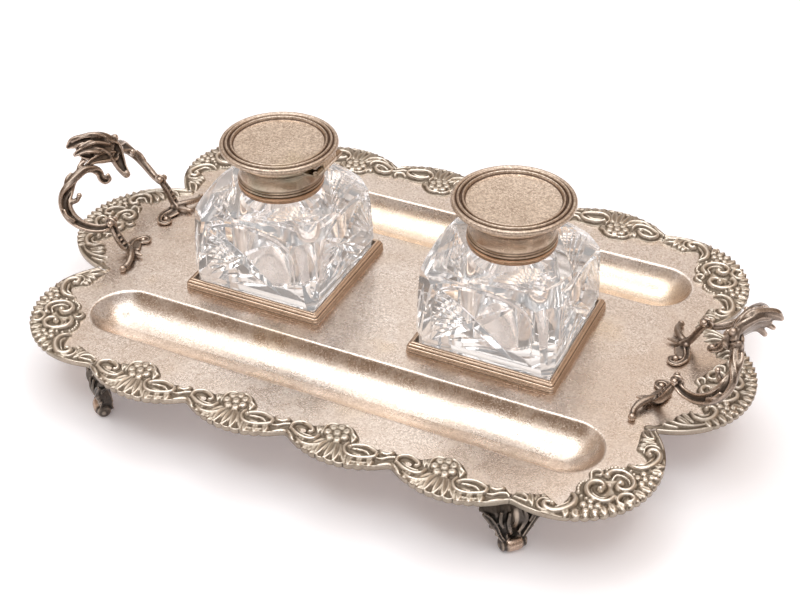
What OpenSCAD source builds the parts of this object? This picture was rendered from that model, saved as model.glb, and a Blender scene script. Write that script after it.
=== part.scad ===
// Desk inkstand: a scalloped tray on four scroll feet, with two pen wells, two end handles
// and two square cut-glass inkwells with hinged lids, each lifting out of its own gallery.
// Millimetres. Origin on the table under the middle of the tray, X along its length, Y to the back.

/* [Tray] */
// Distance between neighbouring lobes of the long edges
lobe_pitch = 45; // [44:0.5:46]
// Radius of the lobes of the long edges
lobe_r = 35.6; // [35:0.2:37]
// Distance of the long edges' lobe centres from the middle line
lobe_y = 69.2; // [66:0.2:72]
// Distance of the corner lobe centres from the cross middle line
corner_x = 103.5; // [102:0.5:106]
// Distance of the corner lobe centres from the long middle line
corner_y = 61; // [60:0.5:63]
// Radius of the corner lobes
corner_r = 35.5; // [34.5:0.5:37]
// Distance of the end lobe centres from the middle
end_x = 121.7; // [120:0.5:124]
// Radius of the end lobes
end_r = 36.4; // [35:0.2:38]
// Height of the tray's flat floor above the table
floor_z = 27.1; // [25:0.1:32]
// Thickness of the tray's sheet
sheet_t = 1.2; // [1:0.1:1.6]

/* [Pen wells] */
// Length of a pen well at the level of the floor
well_l = 230; // [200:1:236]
// Width of a pen well at the level of the floor
well_w = 30; // [26:0.5:30]
// Depth of a pen well below the floor
well_d = 9; // [7:0.5:11]
// Distance of the pen wells from the middle line
well_y = 57.3; // [56.5:0.1:59]

/* [Border] */
// Width of the border at the middle of a lobe
border_w = 8; // [7:0.5:9]
// Width of the border at a notch of the long edges
notch_w = 6; // [5:0.5:8]
// Thickness of the border's ground above the floor
border_t = 1.5; // [1.2:0.1:2]
// Height of the scrolls and flowers above the border's ground
relief_h = 1.1; // [0.8:0.1:1.5]
// Depth of the border's lip over the tray's edge
lip_d = 1.4; // [1.2:0.1:2.4]
// Width of the border's lip
lip_w = 1.6; // [1.4:0.1:2]
// Petals of a flower
petals = 6; // [5:1:7]
// Flutes of the shell edge at a corner
corner_flutes = 11; // [9:1:13]
// Flutes of the shell edge at an end
end_flutes = 13; // [11:1:15]

/* [Galleries] */
// Distance between the middles of the two inkwells
well_gap = 106.1; // [102:0.1:110]
// Outer side of a gallery
gallery_s = 65.3; // [64.5:0.1:66]
// Height of a gallery above the floor
gallery_h = 5.1; // [4:0.1:7]
// Clearance between a bottle and its gallery, each side
bottle_clear = 1.2; // [0.6:0.1:1.5]

/* [Bottles] */
// Side of a square glass bottle
bottle_s = 58.5; // [56:0.1:59.5]
// Cut across the upright corners of a bottle
bottle_cut = 3.4; // [2:0.1:5]
// Height of a bottle's body up to the neck
bottle_h = 45.2; // [42:0.1:48]
// Height of the rounded shoulder
shoulder_h = 17; // [14:0.5:20]
// Outer radius of the glass neck
neck_r = 15.9; // [15:0.1:16.4]
// Length of the glass neck
neck_l = 10; // [8:0.5:11]
// Radius of the bore in the neck
mouth_r = 11.5; // [9:0.5:13]
// Radius of the ink cavity
ink_r = 17; // [14:0.5:19]
// Thickness of the glass under the ink
base_t = 9; // [6:0.5:12]
// Depth of the mitre cuts on the faces
cut_d = 1.1; // [0.6:0.1:1.4]
// Gap between a bottle and the floor under it
seat_gap = 0.1; // [0.05:0.05:0.3]

/* [Collars and lids] */
// Height of a collar
collar_h = 17.6; // [16:0.1:19]
// Thickness of a collar's wall
collar_t = 1.3; // [1:0.1:1.6]
// Outer radius of a lid
lid_r = 25.15; // [24.5:0.05:26]
// Thickness of a lid's edge
lid_t = 3; // [2.6:0.1:3.6]
// Radius of the lid's sunk panel
panel_r = 19.4; // [18:0.1:20]
// Depth of the lid's sunk panel
panel_d = 1.3; // [0.8:0.1:1.6]
// Gap between a lid's underside and its collar
lid_gap = 0.3; // [0.2:0.05:0.5]
// Depth of the ring that centres a lid in its collar
bezel_d = 2.6; // [2:0.1:3.4]
// Clearance between that ring and the collar
bezel_clear = 0.9; // [0.7:0.05:1.2]
// Distance of a hinge's axis from the middle of the lid
hinge_r = 23; // [22.6:0.1:24]
// Distance of a hinge's axis below the lid
hinge_drop = 3.1; // [2.4:0.1:3.6]
// Length of a hinge
hinge_l = 20; // [16:0.5:22]
// Radius of the hinge knuckles
knuckle_r = 1.6; // [1.5:0.05:1.8]
// Radius of a hinge pin
pin_r = 0.7; // [0.6:0.05:0.8]
// Running clearance round a hinge pin
pin_clear = 0.05; // [0.03:0.01:0.08]
// Gap between neighbouring knuckles
knuckle_gap = 0.3; // [0.2:0.05:0.5]

/* [Handles] */
// Distance of the handle terminals from the cross middle line
handle_x = 121; // [118:0.5:123]
// Reach of the handle's legs outward from the terminals
handle_reach = 31; // [28:0.5:33]
// Half distance between the legs at their widest
handle_spread = 27.5; // [25:0.5:30]
// Height of the legs above the floor
handle_rise = 35; // [31:0.5:38]
// Radius of a leg
leg_r = 2; // [1.7:0.1:2.3]
// Length of the leaf crest
crest_l = 21; // [19:0.5:22]

/* [Feet] */
// Distance of the feet from the cross middle line
foot_x = 93; // [91:0.5:95]
// Distance of the feet from the long middle line
foot_y = 91; // [89:0.5:92]
// Width of a foot's leaf where it meets the tray
knee_w = 27; // [24:0.5:30]
// Radius of the toe roll
toe_r = 3.1; // [2.6:0.1:3.6]
// Length of the toe roll
toe_l = 6.5; // [5.5:0.5:8]

/* [Hidden] */
round_n = 72;
small_n = 24;
far = 400;
// Margin between the relief and the outline
relief_in = 0.6;
// Leaves of the husk under a flower: turns, place, width and length in shares of the lobe's radius
husk_angles = [-13, -6, 1, 7];
husk_in = 0.82;
husk_w = 0.045;
husk_l = 0.2;
// Flutes of the shell edges: place, width and length in the same shares, and the angles they fill
flute_in = 0.925;
flute_w = 0.036;
flute_l = 0.1;
corner_shell = 78;
end_shell = 84;
// The plate stops short of the outline, so that the border's lip closes over it
plate_in = lip_w;
border_z = floor_z + border_t;
relief_z = border_z + relief_h;
lip_z = floor_z - lip_d;
// The well is a capsule whose axis lies above the floor
well_r = (well_w * well_w / 4 + well_d * well_d) / (2 * well_d);
well_axis_z = floor_z + well_r - well_d;
well_end_x = well_l / 2 - well_w / 2;
inkwell_x = well_gap / 2;
bottle_z = floor_z + seat_gap;
neck_z = bottle_z + bottle_h;
gallery_in = bottle_s + 2 * bottle_clear;
collar_z = neck_z + seat_gap;
collar_top = collar_z + collar_h;
collar_in = neck_r + seat_gap;
waist_r = collar_in + collar_t;
lid_z = collar_top + lid_gap;
hinge_z = lid_z - hinge_drop;
bezel_r = collar_in - bezel_clear;
knuckle_l = hinge_l * 0.55;

// The value a share t of the way from a to b
function mix(a, b, t) = a + (b - a) * t;
// One smooth curve through the knots k, with s steps between two neighbours
function knot(k, i) = k[max(0, min(len(k) - 1, i))];
function smooth_at(k, i, t) =
    let (a = knot(k, i - 1), b = knot(k, i), c = knot(k, i + 1), d = knot(k, i + 2))
    0.5 * (2 * b + (c - a) * t + (2 * a - 5 * b + 4 * c - d) * t * t
        + (3 * b - a - 3 * c + d) * t * t * t);
function smooth(k, s) = concat(
    [for (i = [0 : len(k) - 2]) for (j = [0 : s - 1]) smooth_at(k, i, j / s)],
    [k[len(k) - 1]]);
function unit(v) = v / max(norm(v), 0.0001);

// A tapering bar along a smooth curve: each knot is [x, y, z, half width, half thickness],
// and side is the direction in which the width is measured
module bar(knots, side, steps = 3, sides = 8) {
    path = smooth(knots, steps);
    n = len(path);
    points = [for (i = [0 : n - 1])
        let (p = path[i], a = path[max(0, i - 1)], b = path[min(n - 1, i + 1)],
            along = unit([b[0] - a[0], b[1] - a[1], b[2] - a[2]]),
            w = unit(side - along * (side * along)), t = cross(along, w))
        for (j = [0 : sides - 1])
            let (angle = 360 * (j + 0.5) / sides)
            [p[0], p[1], p[2]] + w * (p[3] * cos(angle)) + t * (p[4] * sin(angle))];
    faces = concat(
        [[for (j = [0 : sides - 1]) j]],
        [for (i = [0 : n - 2]) for (j = [0 : sides - 1])
            [i * sides + j, (i + 1) * sides + j, (i + 1) * sides + (j + 1) % sides]],
        [for (i = [0 : n - 2]) for (j = [0 : sides - 1])
            [i * sides + j, (i + 1) * sides + (j + 1) % sides, i * sides + (j + 1) % sides]],
        [[for (j = [sides - 1 : -1 : 0]) (n - 1) * sides + j]]);
    polyhedron(points, faces);
}

// Places of the lobes: [x, y, radius]
long_lobes = [for (i = [-1.5 : 1 : 1.5]) [i * lobe_pitch, lobe_y, lobe_r]];
front_lobes = [for (l = long_lobes) [l[0], -l[1], l[2]]];
corner_lobes = [for (sx = [-1, 1]) for (sy = [-1, 1]) [sx * corner_x, sy * corner_y, corner_r]];
end_lobes = [for (sx = [-1, 1]) [sx * end_x, 0, end_r]];
lobes = concat(long_lobes, front_lobes, corner_lobes, end_lobes);

// The scalloped outline, drawn in by a margin, round a core that joins the middles of the lobes
quarter = [[end_x, 0], [corner_x, corner_y], [long_lobes[3][0], lobe_y]];
core = concat(quarter, [for (i = [2 : -1 : 0]) [-quarter[i][0], quarter[i][1]]],
    [for (i = [1 : 2]) [-quarter[i][0], -quarter[i][1]]],
    [for (i = [2 : -1 : 1]) [quarter[i][0], -quarter[i][1]]]);
module outline(margin) {
    for (l = lobes) translate([l[0], l[1]]) circle(l[2] - margin, $fn = round_n);
    polygon(core);
}

// Where two neighbouring lobes cross on their outer side
function notch(a, b) =
    let (d = [b[0] - a[0], b[1] - a[1]], span = norm(d), u = d / span,
        along = (span * span + a[2] * a[2] - b[2] * b[2]) / (2 * span),
        out = sqrt(a[2] * a[2] - along * along))
    [a[0] + u[0] * along + u[1] * out, a[1] + u[1] * along - u[0] * out];
long_notch = notch(long_lobes[3], long_lobes[2]);
corner_notch = notch([corner_x, corner_y, corner_r], long_lobes[3]);
end_notch = notch([end_x, 0, end_r], [corner_x, corner_y, corner_r]);
// A corner's ornament looks along the middle of its arc
corner_mid = (atan2(corner_notch[1] - corner_y, corner_notch[0] - corner_x)
    + atan2(end_notch[1] - corner_y, end_notch[0] - corner_x)) / 2;

// The plain field inside the border: it comes nearer to the edge at each notch
module field() {
    outline(border_w);
    square([2 * corner_notch[0], 2 * (long_notch[1] - notch_w)], center = true);
    square([2 * (end_notch[0] - notch_w), 2 * corner_y], center = true);
}

// One pen well, or its outer skin, as a capsule along X
module capsule(y, r) {
    translate([-well_end_x, y, well_axis_z]) rotate([0, 90, 0])
        cylinder(r = r, h = 2 * well_end_x, $fn = round_n);
    for (sx = [-1, 1]) translate([sx * well_end_x, y, well_axis_z]) sphere(r, $fn = round_n);
}

module tray_plate() {
    color("rosybrown") difference() {
        union() {
            translate([0, 0, floor_z - sheet_t]) linear_extrude(sheet_t) outline(plate_in);
            for (sy = [-1, 1]) difference() {
                capsule(sy * well_y, well_r + sheet_t);
                translate([-far / 2, -far / 2, floor_z]) cube([far, far, far]);
            }
        }
        for (sy = [-1, 1]) capsule(sy * well_y, well_r);
    }
}

// A C scroll in the plane: a band that winds in from r0 to r1 and thins from w0 to w1
module c_scroll(r0, r1, turn, w0, w1, n = 14) {
    outer = [for (i = [0 : n]) let (t = i / n, r = mix(r0, r1, t) + mix(w0, w1, t) / 2)
        [r * cos(turn * t), r * sin(turn * t)]];
    inner = [for (i = [n : -1 : 0]) let (t = i / n, r = mix(r0, r1, t) - mix(w0, w1, t) / 2)
        [r * cos(turn * t), r * sin(turn * t)]];
    polygon(concat(outer, inner));
    translate([r0, 0]) circle(w0 * 0.8, $fn = small_n);
    translate([r1 * cos(turn), r1 * sin(turn)]) circle(w1 * 1.1, $fn = small_n);
}

// A flower in the plane
module flower(r) {
    circle(r * 0.3, $fn = small_n);
    for (i = [0 : petals - 1]) rotate(360 * i / petals)
        translate([r * 0.68, 0]) circle(r * 0.29, $fn = small_n);
}

// Scrolls, in shares of a lobe's radius: [place along, place in from the edge, start angle,
// outer radius, inner radius, sweep, outer width, inner width]
long_scrolls = [[-0.43, 0.33, 40, 0.14, 0.06, 260, 0.05, 0.028],
    [-0.3, 0.17, 200, 0.13, 0.07, 150, 0.045, 0.028], [0.25, 0.27, 130, 0.15, 0.07, 290, 0.05, 0.028],
    [0.5, 0.36, 180, 0.075, 0.06, 190, 0.04, 0.025]];
corner_scrolls = [[0.15, 0.35, -70, 0.15, 0.062, 280, 0.056, 0.031],
    [0.59, 0.43, 160, 0.13, 0.05, 240, 0.048, 0.026], [0.8, 0.66, 150, 0.075, 0.05, 170, 0.04, 0.026]];
end_scrolls = [[0.14, 0.43, -60, 0.12, 0.055, 280, 0.05, 0.028],
    [0.12, 0.24, 120, 0.1, 0.05, 240, 0.045, 0.025],
    [0.54, 0.42, 130, 0.12, 0.052, 250, 0.046, 0.026], [0.76, 0.62, 150, 0.075, 0.05, 190, 0.04, 0.024]];
// Flowers and the wider ground under the ornament, in the same shares: [along, in, radius]
long_flowers = [[-0.09, 0.42, 0.15]];
corner_flowers = [[0.36, 0.23, 0.11], [0, 0.11, 0.09]];
end_flowers = [[0.34, 0.22, 0.1], [0, 0.3, 0.06]];
long_swells = [[-0.09, 0.4, 0.18], [-0.38, 0.28, 0.15], [0.22, 0.27, 0.16], [0.5, 0.34, 0.11]];
corner_swells = [[0.15, 0.36, 0.24], [0.55, 0.42, 0.2], [0.78, 0.62, 0.16], [0.3, 0.24, 0.2]];
end_swells = [[0.14, 0.4, 0.2], [0.54, 0.4, 0.17], [0.75, 0.6, 0.15], [0.32, 0.26, 0.17]];

module scrolls(table, r) {
    for (s = table) translate([s[0] * r, (1 - s[1]) * r]) rotate(s[2])
        c_scroll(s[3] * r, s[4] * r, s[5], s[6] * r, s[7] * r);
}
module flowers(table, r) {
    for (f = table) translate([f[0] * r, (1 - f[1]) * r]) flower(f[2] * r);
}
module swells(table, r) {
    for (w = table) translate([w[0] * r, (1 - w[1]) * r]) circle(w[2] * r, $fn = small_n);
}
// The children and their mirror image across the Y axis
module both() {
    children();
    mirror([1, 0]) children();
}

// The scrolls, flower and husk leaves of one lobe of the long edges, pointing to +Y from its centre
module long_ornament() {
    scrolls(long_scrolls, lobe_r);
    flowers(long_flowers, lobe_r);
    for (a = husk_angles) rotate(a) translate([0, lobe_r * husk_in])
        square([lobe_r * husk_w, lobe_r * husk_l], center = true);
}

// Radial flutes of a shell edge, centred on the Y axis
module shell_flutes(r, count, span) {
    for (i = [0 : count - 1]) rotate(span * (i / (count - 1) - 0.5))
        translate([0, r * flute_in]) square([r * flute_w, r * flute_l], center = true);
}

// The scrolls, flowers and shell of a corner, pointing to +Y from its centre
module corner_ornament() {
    shell_flutes(corner_r, corner_flutes, corner_shell);
    both() {
        scrolls(corner_scrolls, corner_r);
        flowers(corner_flowers, corner_r);
    }
}

// The scrolls and shell of an end, pointing to +Y from its centre
module end_ornament() {
    shell_flutes(end_r, end_flutes, end_shell);
    both() {
        scrolls(end_scrolls, end_r);
        flowers(end_flowers, end_r);
    }
}

// Turns what points to +Y from a lobe's centre to where the lobe lies
module at_long(sy) {
    for (l = long_lobes) translate([l[0], sy * l[1]]) rotate(sy > 0 ? 0 : 180) children();
}
module at_corner(sx, sy) {
    mirror([sx < 0 ? 1 : 0, 0]) mirror([0, sy < 0 ? 1 : 0])
        translate([corner_x, corner_y]) rotate(corner_mid - 90) children();
}
module at_end(sx) {
    translate([sx * end_x, 0]) rotate(-90 * sx) children();
}

// The border's ground in one sector: the first child is the sector, the second its swells
module ground() {
    intersection() {
        union() {
            difference() {
                outline(0);
                field();
            }
            children(1);
        }
        outline(0);
        children(0);
    }
}

// Sectors of the border, split close beside the notches
split_in = 0.4;
split_x = corner_notch[0] - split_in;
split_y = end_notch[1] + split_in;
module long_sector(sy) {
    translate([-split_x, sy > 0 ? lobe_y : -lobe_y - far]) square([2 * split_x, far]);
}
module corner_sector(sx, sy) {
    translate([sx > 0 ? split_x : -split_x - far, sy > 0 ? split_y : -split_y - far])
        square([far, far]);
}
module end_sector(sx) {
    translate([sx > 0 ? split_x : -split_x - far, -split_y]) square([far, 2 * split_y]);
}

// One casting of the border: ground, lip over the tray's edge and relief on top.
// The children are its sector, its swells and its relief, all in the plane
module border_piece() {
    color("tan") union() {
        translate([0, 0, floor_z]) linear_extrude(border_t) ground() {
            children(0);
            children(1);
        }
        translate([0, 0, lip_z]) linear_extrude(lip_d) intersection() {
            difference() {
                outline(0);
                outline(lip_w);
            }
            children(0);
        }
        translate([0, 0, border_z]) linear_extrude(relief_h) intersection() {
            outline(relief_in);
            ground() {
                children(0);
                children(1);
            }
            children(2);
        }
    }
}
module long_border(sy) {
    border_piece() {
        long_sector(sy);
        at_long(sy) swells(long_swells, lobe_r);
        at_long(sy) long_ornament();
    }
}
module corner_border(sx, sy) {
    border_piece() {
        corner_sector(sx, sy);
        at_corner(sx, sy) both() swells(corner_swells, corner_r);
        at_corner(sx, sy) corner_ornament();
    }
}
module end_border(sx) {
    border_piece() {
        end_sector(sx);
        at_end(sx) both() swells(end_swells, end_r);
        at_end(sx) end_ornament();
    }
}

// A square with round corners
module soft_square(s, r) {
    square([s - 2 * r, s], center = true);
    square([s, s - 2 * r], center = true);
    for (sx = [-1, 1]) for (sy = [-1, 1]) translate([sx * (s / 2 - r), sy * (s / 2 - r)])
        circle(r, $fn = small_n);
}

// Square frame of drawn moulding that holds a bottle: [start of a band, end of it, margin]
gallery_bands = [[0, 0.16, 0], [0.16, 0.36, 0.7], [0.36, 0.6, 0.2], [0.6, 0.8, 0.6], [0.8, 1, 0.1]];
module gallery(side) {
    color("sienna") translate([side * inkwell_x, 0, floor_z]) difference() {
        for (b = gallery_bands) translate([0, 0, b[0] * gallery_h])
            linear_extrude((b[1] - b[0]) * gallery_h) soft_square(gallery_s - 2 * b[2], 2);
        translate([0, 0, -1]) linear_extrude(gallery_h + 2) soft_square(gallery_in, 1);
    }
}

// Half profile of a bottle's rounded shoulder, from the floor of the bottle to its neck
corner_reach = bottle_s / sqrt(2);
shoulder_profile = concat([[0, 0], [corner_reach, 0]],
    [for (i = [0 : 8]) let (a = 90 * i / 8)
        [neck_r + (corner_reach - neck_r) * cos(a),
            bottle_h - shoulder_h + shoulder_h * sin(a)]],
    [[0, bottle_h]]);

// Crossed mitre cuts on one face of a bottle, which looks to +X
module face_cuts() {
    half = bottle_s / 2;
    height = bottle_h - shoulder_h;
    for (a = [-35, 35]) for (k = [-1 : 1])
        translate([half, k * bottle_s * 0.3, height * 0.48]) rotate([a, 0, 0])
            rotate([0, 0, 45]) cube([cut_d * sqrt(2), cut_d * sqrt(2), height * 1.05], center = true);
}

module bottle(side) {
    color("lightcyan", 0.5) translate([side * inkwell_x, 0, bottle_z]) difference() {
        union() {
            intersection() {
                rotate_extrude($fn = round_n) polygon(shoulder_profile);
                linear_extrude(bottle_h) difference() {
                    square(bottle_s, center = true);
                    for (a = [45 : 90 : 315]) rotate(a)
                        translate([corner_reach - bottle_cut / sqrt(2), -far / 2])
                        square([far, far]);
                }
            }
            cylinder(r = neck_r, h = bottle_h + neck_l, $fn = round_n);
        }
        ink_top = bottle_h - shoulder_h * 0.6;
        translate([0, 0, base_t]) cylinder(r = ink_r, h = ink_top - base_t, $fn = round_n);
        translate([0, 0, ink_top]) cylinder(r1 = ink_r, r2 = mouth_r, h = ink_r - mouth_r, $fn = round_n);
        translate([0, 0, base_t]) cylinder(r = mouth_r, h = far, $fn = round_n);
        for (a = [0 : 90 : 270]) rotate(a) face_cuts();
    }
}

// Turns a lid's hinge, modelled towards +X, to where it lies on each inkwell
module at_inkwell(side) {
    translate([side * inkwell_x, 0, 0]) rotate(side < 0 ? 0 : 90) children();
}

// Half profile of a collar: foot band, ring mouldings, waist and flared top flange, as shares of
// its wall outward from the waist and shares of its height
collar_steps = [[0.7, 0], [0.85, 0.14], [0.4, 0.155], [0.4, 0.19], [0.77, 0.205], [0.77, 0.255],
    [0.23, 0.275], [0, 0.35], [0.08, 0.55], [0.54, 0.74], [1.7, 0.81], [1.85, 0.865],
    [1.15, 0.88], [1.08, 1]];
collar_profile = concat([[0, 0]], [for (s = collar_steps) [waist_r + s[0] * collar_t, s[1] * collar_h]],
    [[0, collar_h]]);
module collar_form() {
    translate([0, 0, collar_z]) rotate_extrude($fn = round_n) polygon(collar_profile);
}
module collar(side) {
    color("peru") at_inkwell(side) difference() {
        collar_form();
        translate([0, 0, collar_z - 1]) cylinder(r = collar_in, h = collar_h + 2, $fn = round_n);
    }
}

// One knuckle of a hinge, centred at y, with its running bore
module knuckle(y, length) {
    translate([hinge_r, y - length / 2, hinge_z]) rotate([-90, 0, 0]) difference() {
        cylinder(r = knuckle_r, h = length, $fn = 32);
        translate([0, 0, -1]) cylinder(r = pin_r + pin_clear, h = length + 2, $fn = 32);
    }
}

// Fixed half of a hinge: two end knuckles on arms from the collar
module hinge_leaf(side) {
    end_l = (hinge_l - knuckle_l) / 2 - knuckle_gap;
    color("peru") at_inkwell(side) for (sy = [-1, 1]) {
        y = sy * (hinge_l - end_l) / 2;
        difference() {
            union() {
                knuckle(y, end_l);
                translate([waist_r + 0.1, y - end_l / 2, hinge_z - knuckle_r])
                    cube([hinge_r - waist_r - 0.1, end_l, 1]);
            }
            translate([hinge_r, y - end_l / 2 - 1, hinge_z]) rotate([-90, 0, 0])
                cylinder(r = pin_r + pin_clear, h = end_l + 2, $fn = 32);
            collar_form();
        }
    }
}

module hinge_pin(side) {
    color("silver") at_inkwell(side) translate([hinge_r, -hinge_l / 2 - 0.3, hinge_z])
        rotate([-90, 0, 0]) {
            cylinder(r = pin_r, h = hinge_l + 0.6, $fn = 32);
        }
}

// Lid: spun disc with stepped rings round a sunk panel
module lid(side) {
    profile = [[0, 0], [lid_r - 0.9, 0], [lid_r, 0.7], [lid_r, lid_t * 0.55],
        [lid_r - 0.7, lid_t * 0.85], [lid_r - 2.6, lid_t * 0.85], [lid_r - 2.9, lid_t],
        [lid_r - 3.6, lid_t], [lid_r - 3.9, lid_t * 0.8], [panel_r + 1.2, lid_t * 0.8],
        [panel_r + 1, lid_t * 0.95], [panel_r + 0.3, lid_t * 0.95], [panel_r, lid_t - panel_d],
        [0, lid_t - panel_d]];
    color("rosybrown") at_inkwell(side) translate([0, 0, lid_z])
        rotate_extrude($fn = round_n) polygon(profile);
}

// Ring under a lid that centres it in the collar
module lid_bezel(side) {
    color("silver") at_inkwell(side) translate([0, 0, lid_z - bezel_d]) difference() {
        cylinder(r = bezel_r, h = bezel_d, $fn = round_n);
        translate([0, 0, -1]) cylinder(r = bezel_r - 0.9, h = bezel_d + 2, $fn = round_n);
    }
}

// Moving half of a hinge: the middle knuckle on a plate under the lid
module lid_leaf(side) {
    color("rosybrown") at_inkwell(side) difference() {
        union() {
            knuckle(0, knuckle_l);
            translate([hinge_r - 0.6, -knuckle_l / 2, hinge_z])
                cube([knuckle_r, knuckle_l, lid_z - hinge_z]);
        }
        translate([hinge_r, -knuckle_l / 2 - 1, hinge_z]) rotate([-90, 0, 0])
            cylinder(r = pin_r + pin_clear, h = knuckle_l + 2, $fn = 32);
    }
}

// One leg of a handle, in shares of reach, spread and rise: from the knuckle out, up and in.
// One leg then ends in a small curl under the crest, the other runs up into the crest
leg_knots = [[0.32, 0.76, 0.37, 1.1], [0.435, 0.83, 0.35, 1], [0.73, 0.98, 0.425, 1],
    [0.95, 0.945, 0.626, 1], [1, 0.836, 0.73, 1], [0.974, 0.62, 0.843, 1], [0.932, 0.364, 0.917, 1]];
curl_knots = [[0.85, 0.22, 0.874, 0.95], [0.78, 0.17, 0.76, 0.85], [0.74, 0.12, 0.7, 0.7]];
root_knots = [[0.903, 0.33, 0.98, 1]];
function handle_point(a, b, c) =
    [handle_x + a * handle_reach, b * handle_spread, floor_z + c * handle_rise];
function bar_knot(p, w, t) = [p[0], p[1], p[2], w, t];

// A leg with its knuckle and leaf terminal, on the +Y side
module handle_leg(end_knots) {
    seat = leg_r * 0.7;
    bar([for (k = concat(leg_knots, end_knots))
        bar_knot(handle_point(k[0], k[1], k[2]), leg_r * k[3], leg_r * k[3])], [0, 0, 1], 3);
    // stem from the fork on the tray up to the knuckle
    bar([for (k = [[-0.05, 0.78, 0, 1.1], [0.1, 0.86, 0.16, 0.85], [0.32, 0.78, 0.39, 0.6]])
        bar_knot(handle_point(k[0], k[1], k[2]) + [0, 0, seat], leg_r * 0.8, leg_r * k[3])],
        [1, 0, 0], 3);
    // outer curl, away from the middle
    bar([for (k = [[0, 0.72, 1.1], [-0.09, 0.95, 1], [-0.07, 1.16, 0.7]])
        bar_knot(handle_point(k[0], k[1], 0) + [0, 0, seat], leg_r * k[2], leg_r * 0.8)],
        [1, 0, 0], 3);
    // inner scroll, towards the middle and curling in
    bar([for (k = [[-0.06, 0.74, 0.9], [0.12, 0.6, 1], [0.14, 0.34, 0.9], [0.04, 0.18, 0.8],
        [-0.04, 0.28, 0.6]])
        bar_knot(handle_point(k[0], k[1], 0.02) + [0, 0, seat], leg_r * k[2], leg_r * 0.7)],
        [1, 0, 0], 3);
}

// Leaf crest: lobes of a leaf that sweeps outward and a curl that turns back inward,
// in shares of the crest's length along, across and up, with half widths in shares of a leg's radius
crest_lobes = [
    [[-0.04, -0.07, -0.07, 1, 1.1], [0.15, 0.39, 0.36, 1.5, 1.3], [0.43, 0.57, 0.34, 1.3, 1.1],
        [0.676, 0.686, 0.19, 0.45, 0.45]],
    [[0.04, 0.07, 0.04, 1.2, 1.2], [0.14, 0.43, 0.24, 1.4, 1.2], [0.31, 0.833, 0.186, 0.5, 0.5]],
    [[0.03, 0, -0.04, 1.1, 1.1], [0.14, 0.33, -0.04, 1.1, 1], [0.31, 0.524, -0.11, 0.8, 0.7],
        [0.39, 0.65, -0.247, 0.4, 0.4]],
    [[0, 0.03, 0.03, 1.3, 1.2], [-0.12, 0.07, -0.167, 1.2, 1.1], [-0.26, 0.12, -0.39, 1, 1],
        [-0.357, 0.153, -0.486, 0.95, 0.9], [-0.447, 0.176, -0.495, 0.75, 0.7]],
    [[0, 0.07, -0.03, 1.2, 1.1], [0.03, 0.43, 0, 1.4, 1], [0, 0.857, -0.086, 0.9, 0.9]]];

// The crest leaf is one-sided, so the two handles are the same casting turned about the middle
module handle(side) {
    root = handle_point(0.903, -0.364, 0.969);
    color("saddlebrown") rotate(side < 0 ? 180 : 0) difference() {
        union() {
            handle_leg(curl_knots);
            mirror([0, 1, 0]) handle_leg(root_knots);
            for (lobe = crest_lobes) bar([for (k = lobe)
                bar_knot(root + crest_l * [k[0], k[1], k[2]], leg_r * k[3], leg_r * k[4])], [0, 0, 1], 3);
        }
        translate([0, -far / 2, floor_z - far]) cube([far, far, far]);
    }
}

// Shin of a foot seen from its side, from the tray to the toe, in shares of the toe roll's radius
// outward, of the foot's height, of the knee's width and of that radius again
toe_z = toe_r * 0.92;
foot_top = floor_z - sheet_t;
shin_steps = [[-1.3, 1.08, 0.5, 0.7], [0.5, 0.85, 0.5, 0.78], [0.78, 0.6, 0.36, 0.84],
    [-0.07, 0.34, 0.25, 0.74], [-0.4, 0.11, 0.15, 0.65]];
shin_knots = [for (k = shin_steps) [k[0] * toe_r, 0, k[1] * foot_top, k[2] * knee_w, k[3] * toe_r]];

// Scroll foot that looks diagonally outward: leaf knee, tapering shin and rolled toe.
// Its top stays inside the border's lip
module foot(sx, sy) {
    color("dimgray") difference() {
        translate([sx * foot_x, sy * foot_y, 0]) rotate(atan2(sy, sx)) union() {
            bar(shin_knots, [0, 1, 0], 3);
            translate([0, 0, toe_z]) rotate([90, 0, 0])
                cylinder(r = toe_r, h = toe_l, center = true, $fn = small_n);
            for (s = [-1, 1]) translate([0, s * toe_l * 0.65, toe_z]) rotate([90, 0, 0])
                cylinder(r = toe_r * 0.8, h = toe_l * 0.37, center = true, $fn = small_n);
        }
        translate([-far / 2, -far / 2, foot_top]) cube([far, far, far]);
        translate([-far / 2, -far / 2, -far]) cube([far, far, far]);
        translate([0, 0, lip_z - seat_gap]) linear_extrude(far) difference() {
            square(far, center = true);
            outline(lip_w + seat_gap);
        }
    }
}

tray_plate();
long_border(-1);  // border_front
long_border(1);  // border_back
end_border(-1);  // border_end_left
end_border(1);  // border_end_right
corner_border(-1, -1);  // border_corner_front_left
corner_border(1, -1);  // border_corner_front_right
corner_border(-1, 1);  // border_corner_back_left
corner_border(1, 1);  // border_corner_back_right
gallery(-1);  // gallery_left
gallery(1);  // gallery_right
handle(-1);  // handle_left
handle(1);  // handle_right
foot(-1, -1);  // foot_front_left
foot(1, -1);  // foot_front_right
foot(-1, 1);  // foot_back_left
foot(1, 1);  // foot_back_right
bottle(-1);  // bottle_left
bottle(1);  // bottle_right
collar(-1);  // collar_left
collar(1);  // collar_right
hinge_leaf(-1);  // hinge_leaf_left
hinge_leaf(1);  // hinge_leaf_right
hinge_pin(-1);  // hinge_pin_left
hinge_pin(1);  // hinge_pin_right
lid(-1);  // lid_left
lid(1);  // lid_right
lid_bezel(-1);  // lid_bezel_left
lid_bezel(1);  // lid_bezel_right
lid_leaf(-1);  // lid_leaf_left
lid_leaf(1);  // lid_leaf_right
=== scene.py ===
"""Desk inkstand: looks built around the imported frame. Metres in Blender; lengths below are in millimetres."""
import math
import bmesh
import bpy
import numpy as np
from mathutils import Matrix, Vector
from mathutils.geometry import delaunay_2d_cdt


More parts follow.
